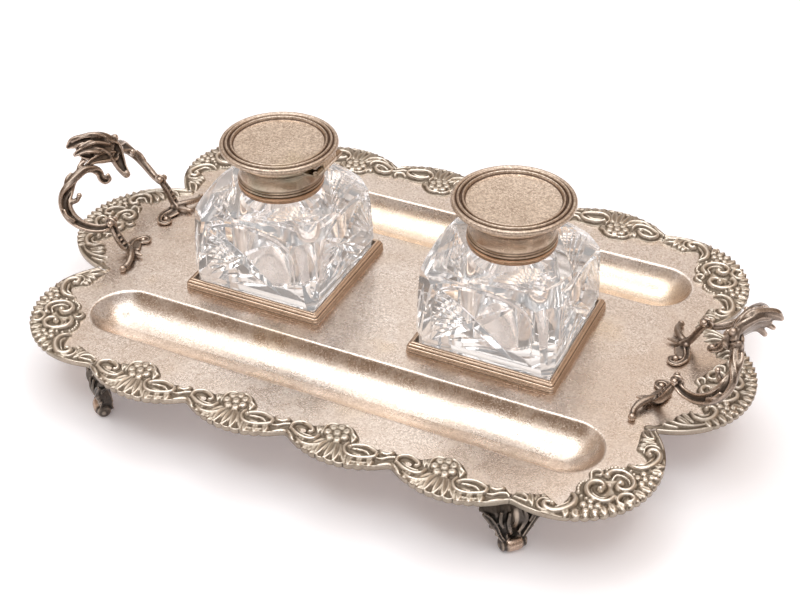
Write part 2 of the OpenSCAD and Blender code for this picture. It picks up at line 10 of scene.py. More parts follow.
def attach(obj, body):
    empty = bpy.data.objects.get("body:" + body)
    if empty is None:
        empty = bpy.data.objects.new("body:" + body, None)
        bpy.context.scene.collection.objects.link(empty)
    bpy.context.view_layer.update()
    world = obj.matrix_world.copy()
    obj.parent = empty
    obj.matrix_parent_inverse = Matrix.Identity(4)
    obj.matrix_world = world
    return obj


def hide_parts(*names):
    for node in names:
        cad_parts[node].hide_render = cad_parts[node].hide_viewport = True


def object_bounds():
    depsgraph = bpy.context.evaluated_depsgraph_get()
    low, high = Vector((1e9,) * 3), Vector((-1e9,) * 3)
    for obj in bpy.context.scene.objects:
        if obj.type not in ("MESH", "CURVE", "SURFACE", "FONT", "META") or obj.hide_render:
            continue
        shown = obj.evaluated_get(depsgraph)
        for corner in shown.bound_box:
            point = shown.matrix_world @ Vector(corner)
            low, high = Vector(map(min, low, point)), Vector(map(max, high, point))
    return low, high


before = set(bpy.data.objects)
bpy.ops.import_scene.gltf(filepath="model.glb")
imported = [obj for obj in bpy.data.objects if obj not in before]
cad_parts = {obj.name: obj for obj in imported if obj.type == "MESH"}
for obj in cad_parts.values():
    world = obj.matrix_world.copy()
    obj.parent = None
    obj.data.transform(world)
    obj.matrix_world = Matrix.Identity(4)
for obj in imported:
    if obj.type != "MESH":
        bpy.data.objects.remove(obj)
cad_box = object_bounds()
MM = 0.001
TAU = 2 * math.pi

# Sizes shared with the CAD source: plate top and thickness, the rim's lip, top of the castings' edge
FLOOR_Z = 27.1
SHEET = 1.2
LIP_Z, LIP_W = 25.8, 1.6
BORDER_Z = 28.6
# Lobes of the outline: centre and radius; the corner's lobe looks along CORNER_MID degrees
LONG = [(x, 69.2, 35.6) for x in (-67.5, -22.5, 22.5, 67.5)]
CORNER = (103.5, 61.0, 35.5)
END = (121.7, 0.0, 36.4)
CORNER_MID = 31.5
# Where the castings meet, the pen wells, and the inkwells' distance from the middle
SPLIT_X, SPLIT_Y = 91.9, 36.2
WELL_Y, WELL_R, WELL_AXIS, WELL_END = 57.3, 17.0, 35.1, 100.0
INKWELL_X = 53.05
SIDES = (("left", -1), ("right", 1))
FACES = (("front", -1), ("back", 1))


# Materials

class Nodes:
    """Builds the node tree of one procedural material."""

    def __init__(self, name):
        self.mat = bpy.data.materials.new(name)
        self.mat.use_nodes = True
        self.tree = self.mat.node_tree
        self.bsdf = self.tree.nodes["Principled BSDF"]
        self.coord = self.tree.nodes.new("ShaderNodeTexCoord").outputs["Object"]

    def new(self, kind, **values):
        n = self.tree.nodes.new(kind)
        for k, v in values.items():
            setattr(n, k, v)
        return n

    def link(self, a, b):
        self.tree.links.new(a, b)

    def put(self, socket, value):
        if hasattr(value, "is_linked"):
            self.link(value, socket)
        else:
            socket.default_value = value

    def noise(self, scale, detail=3.0, rough=0.55, distort=0.0):
        n = self.new("ShaderNodeTexNoise")
        self.link(self.coord, n.inputs["Vector"])
        n.inputs["Scale"].default_value = scale
        n.inputs["Detail"].default_value = detail
        n.inputs["Roughness"].default_value = rough
        n.inputs["Distortion"].default_value = distort
        return n.outputs["Fac"]

    def ramp(self, value, low, high, to_low=0.0, to_high=1.0):
        r = self.new("ShaderNodeMapRange", interpolation_type="SMOOTHSTEP")
        self.link(value, r.inputs[0])
        for i, v in enumerate((low, high, to_low, to_high)):
            r.inputs[i + 1].default_value = v
        return r.outputs[0]

    def math(self, op, a, b):
        n = self.new("ShaderNodeMath", operation=op)
        self.put(n.inputs[0], a)
        self.put(n.inputs[1], b)
        return n.outputs[0]

    def mix(self, factor, a, b):
        n = self.new("ShaderNodeMix", data_type="RGBA", blend_type="MIX")
        self.put(n.inputs[0], factor)
        for i, v in ((6, a), (7, b)):
            self.put(n.inputs[i], v if hasattr(v, "is_linked") else (*v, 1.0))
        return n.outputs[2]

    def attribute(self, name):
        return self.new("ShaderNodeAttribute", attribute_name=name).outputs["Fac"]

    def bump(self, height, distance, strength, below=None):
        b = self.new("ShaderNodeBump")
        b.inputs["Strength"].default_value = strength
        b.inputs["Distance"].default_value = distance
        self.link(height, b.inputs["Height"])
        if below is not None:
            self.link(below, b.inputs["Normal"])
        return b.outputs["Normal"]


def silver(name, light, mid, dark, rough=0.3, grain=0.5, patina=None, pits=0.25,
           rough_dark=0.55, tint=None, worn_and_sheen=None, stain=None, warm=None):
    """Tarnished silver plate: broad clouds, mottling, fine grain and pits; patina in hollows, together with some
    painted shade; bright edges, partly worn and partly a painted sheen; an optional warm colour painted as light and
    shade.
    """
    n = Nodes(name)

    def times(a, b):
        return n.math("MULTIPLY", a, b)

    broad = n.ramp(n.noise(26, 3, 0.55, distort=0.6), 0.36, 0.64)
    cloud = n.ramp(n.noise(170, 4, 0.6), 0.35, 0.68)
    fine = n.noise(1500, 3, 0.6)
    pit = n.ramp(n.noise(2600, 2, 0.6), 0.60, 0.74)
    speck = n.ramp(n.noise(420, 5, 0.7), 0.58, 0.72)
    mottle = n.ramp(n.noise(700, 4, 0.68), 0.44, 0.64)
    colour = n.mix(broad, light, mid)
    colour = n.mix(times(cloud, 0.5), colour, mid)
    colour = n.mix(times(mottle, 0.42 * grain), colour, dark)
    if tint is not None:
        colour = n.mix(n.ramp(n.noise(38, 2, 0.5), 0.55, 0.75, 0, 0.6), colour, tint)
    if stain is not None:
        colour = n.mix(n.ramp(n.noise(15, 3, 0.55, distort=1.2), 0.5, 0.68, 0, 0.6), colour, stain)
    # painted light: the warm colour paints shade in the plate's wells, a reflection on the collar's lowest band and a
    # highlight on the feet's copper toes
    if warm is not None:
        colour = n.mix(times(n.attribute("warm"), 0.85), colour, warm)
    colour = n.mix(times(n.ramp(fine, 0.38, 0.66), min(1.0, 0.5 * grain)), colour, dark)
    colour = n.mix(times(times(pit, speck), pits * 3), colour, dark)
    # edges lightened as worn, and partly as a painted sheen
    if worn_and_sheen is not None:
        colour = n.mix(times(n.ramp(n.attribute("proud"), 0.1, 0.8), 0.9), colour, worn_and_sheen)
    roughness = n.ramp(n.noise(90, 4, 0.65), 0.3, 0.7, rough - 0.05, rough + 0.08)
    # hollows get patina; the castings' dished band gets painted shade through the same attribute
    if patina is not None:
        dull = times(n.ramp(n.attribute("cav"), 0.05, 0.75), n.ramp(n.noise(700, 3, 0.6), 0.2, 0.5, 0.75, 1.0))
        colour = n.mix(dull, colour, patina)
        roughness = n.math("ADD", roughness, times(dull, rough_dark - rough))
    n.link(colour, n.bsdf.inputs["Base Color"])
    n.link(roughness, n.bsdf.inputs["Roughness"])
    n.bsdf.inputs["Metallic"].default_value = 1.0
    low = n.bump(n.noise(60, 2, 0.5), 0.0009, 0.25)
    n.link(n.bump(n.math("ADD", fine, times(pit, -0.6)), 0.00008, 0.6 * grain, low), n.bsdf.inputs["Normal"])
    return n.mat


# Meshes

def linked(name, data):
    """A new object in the scene."""
    o = bpy.data.objects.new(name, data)
    bpy.context.scene.collection.objects.link(o)
    return o


def discard(o):
    """Removes a scratch object and its mesh."""
    mesh = o.data
    bpy.data.objects.remove(o)
    bpy.data.meshes.remove(mesh)


def weld(o, distance):
    """Joins points of a piece that lie together."""
    o.modifiers.new("weld", "WELD").merge_threshold = distance * MM


def piece(name, verts, faces, material, body="tray", slot="tray_silver", replaces=(), attributes=None):
    """A mesh object from points in millimetres that rides on a body."""
    mesh = bpy.data.meshes.new(name)
    v = np.asarray(verts, float).reshape(-1, 3) * MM
    if isinstance(faces, np.ndarray):
        width = faces.shape[1]
        mesh.vertices.add(len(v))
        mesh.vertices.foreach_set("co", v.ravel())
        mesh.loops.add(faces.size)
        mesh.loops.foreach_set("vertex_index", faces.ravel().astype(np.int32))
        mesh.polygons.add(len(faces))
        mesh.polygons.foreach_set("loop_start", np.arange(len(faces), dtype=np.int32) * width)
        mesh.update(calc_edges=True)
    else:
        mesh.from_pydata([tuple(p) for p in v], [], faces)
    mesh.validate()
    mesh.update()
    mesh.shade_smooth()
    for key, values in (attributes or {}).items():
        a = mesh.attributes.new(key, "FLOAT", "POINT")
        a.data.foreach_set("value", np.asarray(values, np.float32))
    o = linked(name, mesh)
    o.data.materials.append(material)
    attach(o, body)
    if replaces:
        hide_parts(*replaces)
    return o


def smooth_line(points, steps=6):
    """A Catmull-Rom curve through the points, of any width."""
    k = np.array(points, float)
    k = np.vstack([2 * k[0] - k[1], k, 2 * k[-1] - k[-2]])
    t = (np.arange(steps) / steps)[:, None]
    out = []
    for i in range(1, len(k) - 2):
        a, b, c, d = k[i - 1:i + 3]
        out.append(0.5 * (2 * b + (c - a) * t + (2 * a - 5 * b + 4 * c - d) * t ** 2
                          + (3 * b - a - 3 * c + d) * t ** 3))
    return np.vstack(out + [k[-2:-1]])


def grid_faces(rows, cols, close_cols=False):
    """Quads of a grid of points, row by row."""
    r = np.arange(rows - 1)
    c = np.arange(cols if close_cols else cols - 1)
    i, j = np.meshgrid(r, c, indexing="ij")
    j2 = (j + 1) % cols
    return np.stack([i * cols + j, i * cols + j2, (i + 1) * cols + j2, (i + 1) * cols + j], -1).reshape(-1, 4)


# Border castings: one height field over the whole rim of the tray

GRID = 0.36  # pitch of the field
HALF_X, HALF_Y = 162.0, 108.0
NX, NY = int(HALF_X / GRID) * 2 + 1, int(HALF_Y / GRID) * 2 + 1
GX = (np.arange(NX) - NX // 2) * GRID
GY = (np.arange(NY) - NY // 2) * GRID
PX, PY = np.meshgrid(GX, GY, indexing="ij")
LOBES = ([(x, s * y, r, 0) for s in (1, -1) for x, y, r in LONG]
         + [(sx * CORNER[0], sy * CORNER[1], CORNER[2], 1) for sx in (1, -1) for sy in (1, -1)]
         + [(s * END[0], 0.0, END[2], 2) for s in (1, -1)])


# Fine scallops of a lobe's edge, by kind: pitch and half span in degrees, depth
SCALLOPS = ((6.4, 29, 0.75), (6.0, 44, 0.9), (5.6, 46, 0.75))


def lobe_axis(x, y, kind):
    """Unit vector from the centre of a lobe to the middle of its edge; kinds are 0 long edge, 1 corner, 2 end."""
    a = math.radians((90, CORNER_MID, 0)[kind])
    return (0.0 if kind == 0 else math.copysign(math.cos(a), x)), (0.0 if kind == 2 else math.copysign(math.sin(a),
            y))


def lobe_reach(lobe, dx, dy):
    """Radius of a lobe in a direction."""
    x, y, r, kind = lobe
    ax, ay = lobe_axis(x, y, kind)
    a = np.degrees(np.arctan2(dy, dx) - math.atan2(ay, ax))
    a = (a + 180) % 360 - 180
    pitch, span, deep = SCALLOPS[kind]
    fade = np.clip((span - np.abs(a)) / 6, 0, 1)
    return r - deep * fade * (1 - np.abs(np.cos(np.pi * a / pitch)) ** 0.8)


def outline_depth(x, y, blend=0.7):
    """How far a point lies inside the tray's outline; neighbouring lobes run softly into each other."""
    total, best = [], np.full(x.shape, -1e9)
    for lobe in LOBES:
        dx, dy = x - lobe[0], y - lobe[1]
        total.append(lobe_reach(lobe, dx, dy) - np.hypot(dx, dy))
        best = np.maximum(best, total[-1])
    best = best + blend * np.log(sum(np.exp((t - best) / blend) for t in total))
    # the polygon of the lobes' centres is inside in any case
    ax, ay = np.abs(x), np.abs(y)
    last_x, last_y, _ = LONG[-1]
    core = ((ay < last_y - np.clip(ax - last_x, 0, None) * (last_y - CORNER[1]) / (CORNER[0] - last_x))
            & (ax < CORNER[0] + np.clip(CORNER[1] - ay, 0, None) * (END[0] - CORNER[0]) / CORNER[1]))
    return np.where(core, np.maximum(best, 30), best)


def onto_outline(x, y):
    """Points moved straight to the outline."""
    for _ in range(4):
        d = outline_depth(x, y)
        gx = (outline_depth(x + 0.05, y) - outline_depth(x - 0.05, y)) * 10
        gy = (outline_depth(x, y + 0.05) - outline_depth(x, y - 0.05)) * 10
        k = np.clip(d, -1, 1) / np.maximum(gx ** 2 + gy ** 2, 0.3)
        x, y = x - gx * k, y - gy * k
    return x, y


DEPTH = outline_depth(PX, PY)
RELIEF = np.zeros_like(PX)
HOLLOW = np.zeros_like(PX)


def window(points, margin):
    """The part of the field round some points."""
    lo, hi = points.min(0) - margin, points.max(0) + margin
    i0, i1 = np.searchsorted(GX, lo[0]), np.searchsorted(GX, hi[0])
    j0, j1 = np.searchsorted(GY, lo[1]), np.searchsorted(GY, hi[1])
    return slice(max(i0, 0), i1), slice(max(j0, 0), j1)


def distance(points, x, y):
    """Distance to a polyline, and how far along it the nearest point is, from 0 to 1."""
    best = np.full(x.shape, 1e9)
    share = np.zeros(x.shape)
    n = len(points) - 1
    for i in range(n):
        a, b = points[i], points[i + 1]
        d = b - a
        t = np.clip(((x - a[0]) * d[0] + (y - a[1]) * d[1]) / max(d @ d, 1e-9), 0, 1)
        q = np.hypot(x - a[0] - t * d[0], y - a[1] - t * d[1])
        pick = q < best
        best = np.where(pick, q, best)
        share = np.where(pick, (i + t) / n, share)
    return best, share


class Lobe:
    """A frame for ornament: x along the edge, y outward from origin."""

    def __init__(self, x, y, angle, flip=1):
        a = math.radians(angle)
        self.o = np.array([x, y], float)
        self.u = np.array([math.cos(a), math.sin(a)])
        self.t = np.array([-self.u[1], self.u[0]]) * flip

    def place(self, pts):
        p = np.array(pts, float).reshape(-1, 2)
        return self.o + p[:, :1] * self.t + p[:, 1:] * self.u


def beside(lobe, pts, steps, margin):
    """The part of the field round a curve, each cell's distance to the curve and its share along it."""
    line = lobe.place(smooth_line(pts, steps) if len(pts) > 2 else pts)
    s = window(line, margin)
    return s, *distance(line, PX[s], PY[s])


def around(lobe, x, y, margin):
    """The part of the field round a point, and each cell's distance to the point."""
    c = lobe.place([(x, y)])
    s = window(c, margin)
    return s, np.hypot(PX[s] - c[0, 0], PY[s] - c[0, 1])


def heap(s, z):
    """Raises a part of the relief to z where it is lower."""
    RELIEF[s] = np.maximum(RELIEF[s], z)


def ridge(lobe, w, h, pts, taper=(0.55, 0.55)):
    """A rounded ridge along a curve, thinner at its ends."""
    w *= 1.3
    s, d, t = beside(lobe, pts, 5, w + 0.2)
    shape = np.minimum(1, np.minimum(taper[0] + t * 4 * (1 - taper[0]), taper[1] + (1 - t) * 4 * (1 - taper[1])))
    heap(s, h * (0.55 + 0.45 * shape) * np.clip(1 - (d / (w * shape)) ** 2, 0, 1) ** 0.6)


def ball(lobe, x, y, r, h):
    """A round bead."""
    s, d = around(lobe, x, y, r + 0.2)
    heap(s, h * np.clip(1 - (d / r) ** 2, 0, 1) ** 0.6)


def leaf(lobe, w, h, pts, vein=0.45):
    """A leaf: widest before its middle, pointed at both ends, with a sunk vein."""
    w *= 1.45
    s, d, t = beside(lobe, pts, 6, w + 0.2)
    half = w * (0.25 + 0.75 * np.sin(np.pi * np.clip(t, 0.02, 0.98) ** 0.8))
    z = h * np.clip(1 - (d / half) ** 2, 0, 1) ** 0.6 - vein * h * np.exp(-(d / (0.28 * w)) ** 2)
    heap(s, np.clip(z, 0, None))


def dent(lobe, x, y, r, depth):
    """A dark hollow."""
    s, d = around(lobe, x, y, r * 2.2)
    HOLLOW[s] = np.maximum(HOLLOW[s], depth * np.exp(-(d / r) ** 2))


def petal(lobe, x, y, r, h):
    """A flattened button with a faint dip."""
    s, d = around(lobe, x, y, r + 0.2)
    d = d / r
    heap(s, h * (np.clip(1 - d ** 2.6, 0, 1) ** 0.42 - 0.16 * np.exp(-(d / 0.4) ** 2)))


def flower(lobe, x, y, r, petals, petal_r, h, turn, centre):
    """Petals round a button."""
    for k in range(petals):
        a = turn + TAU * k / petals
        petal(lobe, x + r * math.cos(a), y + r * math.sin(a), petal_r * 1.12, h)
    petal(lobe, x, y, centre * 1.15, h * 1.06)


def crown_leaf(lobe, a, size, inner, middle, outer, lean):
    """A small leaf on one crown of the scallops, a radians round from the lobe's middle."""
    x, y = math.sin(a), math.cos(a)
    leaf(lobe, *size, [(x * inner + lean, y * inner), (x * middle + 0.2, y * middle), (x * outer, y * outer)],
         vein=0.3)


def long_pattern(lobe):
    """One lobe of a long edge; y is 0 at the outer edge."""
    ridge(lobe, 0.75, 1.6, [(-21.2, -10.3), (-21.4, -13), (-19.2, -15), (-16, -15), (-12.9, -12.8), (-13.3, -11)],
          (0.9, 0.6))
    ridge(lobe, 0.8, 1.7, [(-21, -10.3), (-17.3, -8.2), (-13.2, -7.3), (-10.3, -8.4), (-9.4, -11)], (0.8, 0.6))
    ridge(lobe, 0.4, 0.9, [(-18.8, -11.2), (-16.5, -10), (-13.8, -9.4), (-11.8, -9.8)])
    ridge(lobe, 0.7, 1.5, [(-16.8, -6.4), (-13.4, -4.6), (-10, -4.6), (-7, -6.4), (-6.2, -8.6)], (0.5, 0.8))
    ball(lobe, -13.6, -11.4, 0.9, 1.6)
    dent(lobe, -16.6, -12.3, 1.5, 0.9)
    leaf(lobe, 0.8, 1.3, [(-12.2, -16.6), (-11.4, -14.6), (-10.6, -12.8)])
    leaf(lobe, 0.7, 1.2, [(-10.2, -17), (-9.8, -15), (-9.2, -13)])
    flower(lobe, -3.4, -15, 3.6, 7, 1.7, 1.7, 0.25, 1.75)
    ridge(lobe, 0.5, 1.1, [(-9, -14.6), (-9.3, -17.4), (-8, -19.4), (-5.6, -20.2)])
    ridge(lobe, 0.55, 1.2, [(-5.4, -19.8), (-2.4, -20.6), (0.6, -19.3), (2.4, -17.2), (4.6, -16.2)])
    leaf(lobe, 1.0, 1.1, [(1.4, -17.6), (3.2, -15.6), (3.6, -13.4)])
    leaf(lobe, 1.5, 1.4, [(-5.6, -10.4), (-8.2, -6.6), (-9.8, -1.6)])
    leaf(lobe, 1.7, 1.5, [(-4.2, -10.6), (-5.4, -6.2), (-5.9, -0.8)])
    leaf(lobe, 1.7, 1.5, [(-2.2, -10.6), (-1.6, -6.2), (-2, -0.8)])
    leaf(lobe, 1.6, 1.5, [(-0.4, -10.2), (1, -6.2), (1.9, -0.9)])
    leaf(lobe, 1.3, 1.3, [(1.0, -9.8), (3.4, -6.4), (5.8, -1.8)])
    ridge(lobe, 0.8, 1.7, [(4.2, -10.3), (6.4, -12), (9.2, -13), (12.4, -12.8), (15, -11.5), (15.3, -9.2), (13, -7.4),
                          (9.4, -5.9), (6.3, -5.7), (3.7, -7), (2.4, -9.6), (3, -12.2)], (0.9, 0.5))
    ridge(lobe, 0.45, 1.0, [(5.6, -10), (8.4, -10.6), (11, -10.6), (13, -9.6)])
    ball(lobe, 4.6, -10.2, 1.0, 1.8)
    dent(lobe, 9.2, -9.4, 1.6, 0.8)
    ridge(lobe, 0.45, 0.9, [(4.6, -4.3), (8.4, -3.6), (12, -4.2), (15.4, -6.2)])
    ridge(lobe, 0.75, 1.4, [(15.4, -13.6), (16.8, -12.4), (18.8, -12.3), (20.4, -13.8), (20.2, -15.2)], (0.6, 0.8))
    ridge(lobe, 0.6, 1.2, [(16.4, -9), (18.4, -9.4), (20.4, -11.2), (22.5, -12.2), (24, -11.4)])
    for k in (-4, -3, -2, 2, 3, 4):
        a, r, lean = math.radians(SCALLOPS[0][0] * k), LONG[0][2], math.copysign(1, k)
        x, y = math.sin(a) * r, math.cos(a) * r - r
        leaf(lobe, 1.25, 1.1, [(x - 1.4 * lean, y - 4.6), (x - 0.6 * lean, y - 2.4), (x, y - 0.3)], vein=0.25)
    ridge(lobe, 0.55, 1.0, [(-22.4, -9.2), (-19.6, -7.2), (-17.4, -4.8)])
    ridge(lobe, 0.55, 1.0, [(17.6, -4.8), (19.8, -7.0), (22.2, -8.6)])


def corner_pattern(lobe, half):
    """Half of a corner; y is measured from the lobe's centre. In the second half the big scroll is turned over."""
    def turned_over(*points):
        return [(x, 46.6 - y) if half else (x, y) for x, y in points]

    ridge(lobe, 0.95, 2.0, turned_over((-2.6, 28.6), (-5.8, 28.9), (-8.6, 26.8), (-9.4, 22.6), (-7.6, 19),
                                       (-4.4, 17.8), (-2.0, 19.2), (-1.8, 21.6), (-3.8, 22.8)), (1, 0.8))
    ball(lobe, *turned_over((-4.0, 22.4))[0], 1.45, 2.2)
    ball(lobe, *turned_over((-2.8, 28.3))[0], 1.25, 1.9)
    ridge(lobe, 0.42, 1.1, turned_over((-3.4, 26.2), (-5.8, 26.7), (-7.3, 25), (-7.6, 22.2), (-6.4, 20)))
    dent(lobe, *turned_over((-5.6, 24.6))[0], 1.3, 0.9)
    ridge(lobe, 1.15, 1.8, [(-13.4, 17.6), (-14.4, 21), (-17.6, 23), (-22, 23), (-25.6, 21.2), (-26.6, 18.4),
                            (-25.2, 16.6), (-23.2, 17.4)], (0.35, 0.75))
    ball(lobe, -23.2, 18.3, 1.15, 1.9)
    ridge(lobe, 0.4, 1.1, [(-15.8, 19.4), (-18, 21), (-21.4, 20.8), (-23.8, 20.2)])
    dent(lobe, -20.2, 19.2, 1.4, 0.8)
    ridge(lobe, 0.5, 1.2, [(-22.6, 15.6), (-24.8, 14.2), (-27.4, 14.9), (-28.5, 17.2), (-27.6, 20.2), (-25.6, 22.8)])
    leaf(lobe, 1.0, 1.4, [(-26.4, 9.6), (-28.2, 12.4), (-29.6, 15)])
    leaf(lobe, 0.8, 1.2, [(-24.2, 11.4), (-25.8, 13), (-27.6, 13.6)])
    leaf(lobe, 0.8, 1.2, [(-22.4, 12.4), (-23.4, 13.8), (-24.6, 14.2)])
    ridge(lobe, 0.6, 1.3, [(-30.2, 6.2), (-29, 8.2), (-28.8, 10.6), (-30.2, 12.4), (-31.4, 10.4), (-32.4, 7.6)])
    flower(lobe, -12.9, 27.6, 2.75, 5, 1.35, 1.7, 0.4, 1.25)
    ball(lobe, -16.6, 29.4, 1.2, 1.5)
    ridge(lobe, 0.5, 1.2, [(-17.4, 26.6), (-18.8, 25.6), (-20.4, 26.4), (-20.2, 28.2), (-18.4, 28.6)])
    ball(lobe, -11.3, 23.2, 0.9, 1.3)
    ball(lobe, -11.8, 20.9, 0.75, 1.1)
    for x, y in ((-4.9, 15.4), (-6.2, 15.1), (-7.5, 15.3), (-8.8, 15.9), (-9.9, 16.8), (-10.8, 18)):
        ball(lobe, x, y, 0.7, 1.0)
    leaf(lobe, 0.9, 1.3, [(-5.2, 30.2), (-5.8, 32.2), (-5.4, 34)])
    leaf(lobe, 0.9, 1.3, [(-8.6, 29.4), (-9.6, 31.2), (-9.4, 33.4)])
    if half == 0:
        ridge(lobe, 0.85, 1.8, [(-2.4, 33.6), (-3.2, 31.4), (-1.6, 29.6), (1.0, 29.4), (3.1, 31), (2.9, 33.2),
                                (0.9, 33.6), (0.2, 32.2)], (0.7, 0.6))
        dent(lobe, 0.2, 31.6, 1.2, 0.9)
        ridge(lobe, 0.6, 1.4, [(-2.2, 15), (-0.6, 13.2), (1.8, 13.6), (2.4, 15.6), (0.8, 16.6), (-0.2, 15.4)])
    for k in range(half, 8):
        inner = 31.0 + 0.6 * math.sin(k * 2.1)
        crown_leaf(lobe, math.radians(-SCALLOPS[1][0] * k), (1.25, 1.35), inner, 33.2, 35.2, 0.5)


def end_pattern(lobe, half):
    """Half of an end; y is measured from the lobe's centre."""
    ridge(lobe, 1.0, 1.7, [(-19.4, 16), (-22.6, 18.4), (-23, 22.2), (-20, 25), (-16, 25.4), (-14, 23), (-15.6, 21)],
          (0.4, 0.7))
    ball(lobe, -15.9, 21.4, 1.1, 1.8)
    ridge(lobe, 0.42, 1.1, [(-19.4, 18.6), (-20.6, 20.6), (-19.2, 22.8), (-17.2, 23)])
    dent(lobe, -18.2, 20.6, 1.3, 0.8)
    ridge(lobe, 0.8, 1.7, [(-9.4, 23.8), (-8, 27.8), (-4.6, 30.2), (-1.6, 29.4), (-1.6, 27), (-3.6, 26.6)],
          (0.5, 0.8))
    ball(lobe, -3.7, 27, 1.05, 1.8)
    dent(lobe, -5.2, 27.2, 1.1, 0.8)
    flower(lobe, -12.4, 28.6, 2.7, 5, 1.3, 1.6, 0.9, 1.3)
    ridge(lobe, 0.85, 1.7, [(-1.2, 23.4), (-4.2, 23.6), (-7.4, 21.8), (-8, 18.4), (-5.6, 16.2), (-2.8, 17),
                            (-2.6, 19.4)], (0.9, 0.7))
    ball(lobe, -3, 19.7, 1.05, 1.8)
    ridge(lobe, 0.4, 1.0, [(-3.8, 21.8), (-5.8, 20.8), (-6, 18.8)])
    ridge(lobe, 0.55, 1.2, [(-10.2, 17), (-12.2, 18.2), (-12.6, 20.6), (-10.8, 21.4)])
    ball(lobe, -11.2, 24.4, 0.9, 1.2)
    ball(lobe, -13.8, 18.4, 0.8, 1.0)
    leaf(lobe, 1.0, 1.4, [(-24.6, 12.2), (-26.4, 15.4), (-27.4, 18.6)])
    leaf(lobe, 0.9, 1.3, [(-22, 13.6), (-24, 16), (-25.4, 19)])
    ridge(lobe, 0.5, 1.2, [(-27, 8.6), (-28.6, 11.6), (-29, 15), (-27.6, 19.6), (-25, 23)])
    ridge(lobe, 0.5, 1.2, [(-30.4, 7.4), (-31.6, 10.4), (-31, 14.4)])
    if half == 0:
        ball(lobe, 0, 26, 1.2, 1.4)
        ridge(lobe, 0.6, 1.3, [(-1.8, 14.8), (-0.4, 13.2), (1.6, 13.8), (1.6, 15.6), (0.2, 16.2)])
        leaf(lobe, 0.9, 1.3, [(0, 30.4), (0, 32.4), (0, 34.6)])
    for k in range(half, 9):
        inner = 32.2 + 0.6 * math.sin(k * 1.7)
        crown_leaf(lobe, math.radians(-SCALLOPS[2][0] * k), (1.15, 1.3), inner, 34.2, 36.1, 0.4)


def blur(a, sigma):
    """Gaussian blur of a grid, sigma in millimetres."""
    s = sigma / GRID
    fx = np.exp(-2 * (np.pi * np.fft.fftfreq(a.shape[0]) * s) ** 2)[:, None]
    fy = np.exp(-2 * (np.pi * np.fft.rfftfreq(a.shape[1]) * s) ** 2)[None, :]
    return np.fft.irfft2(np.fft.rfft2(a) * fx * fy, s=a.shape)


def step(a, low, high):
    """0 below low, 1 above high, and a smooth change between."""
    t = np.clip((a - low) / (high - low), 0, 1)
    return t * t * (3 - 2 * t)


# The front, one end and the front corners are drawn, then turned by half a turn for the rest
for x, y, r in LONG:
    long_pattern(Lobe(x, -y - r, -90))
for half, flip in ((0, 1), (1, -1)):
    corner_pattern(Lobe(CORNER[0], -CORNER[1], -CORNER_MID, flip), half)
    corner_pattern(Lobe(-CORNER[0], -CORNER[1], 180 + CORNER_MID, flip), half)
    end_pattern(Lobe(END[0], 0, 0, flip), half)
RELIEF = np.maximum(RELIEF, RELIEF[::-1, ::-1])
HOLLOW = np.maximum(HOLLOW, HOLLOW[::-1, ::-1])

# Smooth rim along the outline, except where the leaves of corners and ends reach it
shell = np.zeros_like(PX)
for x, y, r, kind in LOBES:
    if kind:
        ax, ay = lobe_axis(x, y, kind)
        shell = np.maximum(shell, 1 - step(np.hypot(PX - x - r * ax, PY - y - r * ay), 24, 29))
RELIEF = np.maximum(RELIEF, 0.6 * np.clip(1 - ((DEPTH - 0.55) / 0.55) ** 2, 0, 1) ** 0.6 * (1 - shell))

# The castings' height: a dished band, a pad under the ornament, the relief and its hollows
solid = (RELIEF > 0.15).astype(float)
pad = step(blur(np.maximum(solid, (DEPTH < 2.4) & (DEPTH > -3)), 1.3), 0.16, 0.5)
dish = step(blur(np.maximum(solid, (DEPTH < 2.4) & (DEPTH > -8)), 3.8), 0.06, 0.8)
HEIGHT = FLOOR_Z - 0.12 + 0.2 * dish + 0.62 * pad + RELIEF - HOLLOW * 0.35
soft = blur(HEIGHT, 0.9)
# How hollow and how proud each cell lies, from 0 to 1, for the patina and the worn edges; the dished band beside the
# ornament also gets a little painted shade
PATINA_AND_SHADE = np.clip((soft - HEIGHT) / 0.42 + 0.22 * pad * (RELIEF < 0.2) + HOLLOW * 0.6, 0, 1)
# painted shade: the plain dished band beside the ornament is darkened a little
PATINA_AND_SHADE = np.maximum(PATINA_AND_SHADE * step(pad, 0.05, 0.6), 0.2 * dish * (RELIEF < 0.2))
PROUD = np.clip((HEIGHT - soft) / 0.5, 0, 1)

# Skirt of a casting over the plate's edge: distance inward, height, patina
SKIRT = [(0.0, BORDER_Z - 0.8, 0.2), (0.0, LIP_Z + 0.75, 0.3), (0.12, LIP_Z + 0.3, 0.45), (0.45, LIP_Z, 0.5),
         (LIP_W - 0.3, LIP_Z, 0.6), (LIP_W, LIP_Z + 0.1, 0.8)]


def any_corner(a):
    """Whether any of the four cells or points round each place is set."""
    return a[:-1, :-1] | a[1:, :-1] | a[:-1, 1:] | a[1:, 1:]


def all_corners(a):
    """Whether all four of them are set."""
    return a[:-1, :-1] & a[1:, :-1] & a[:-1, 1:] & a[1:, 1:]


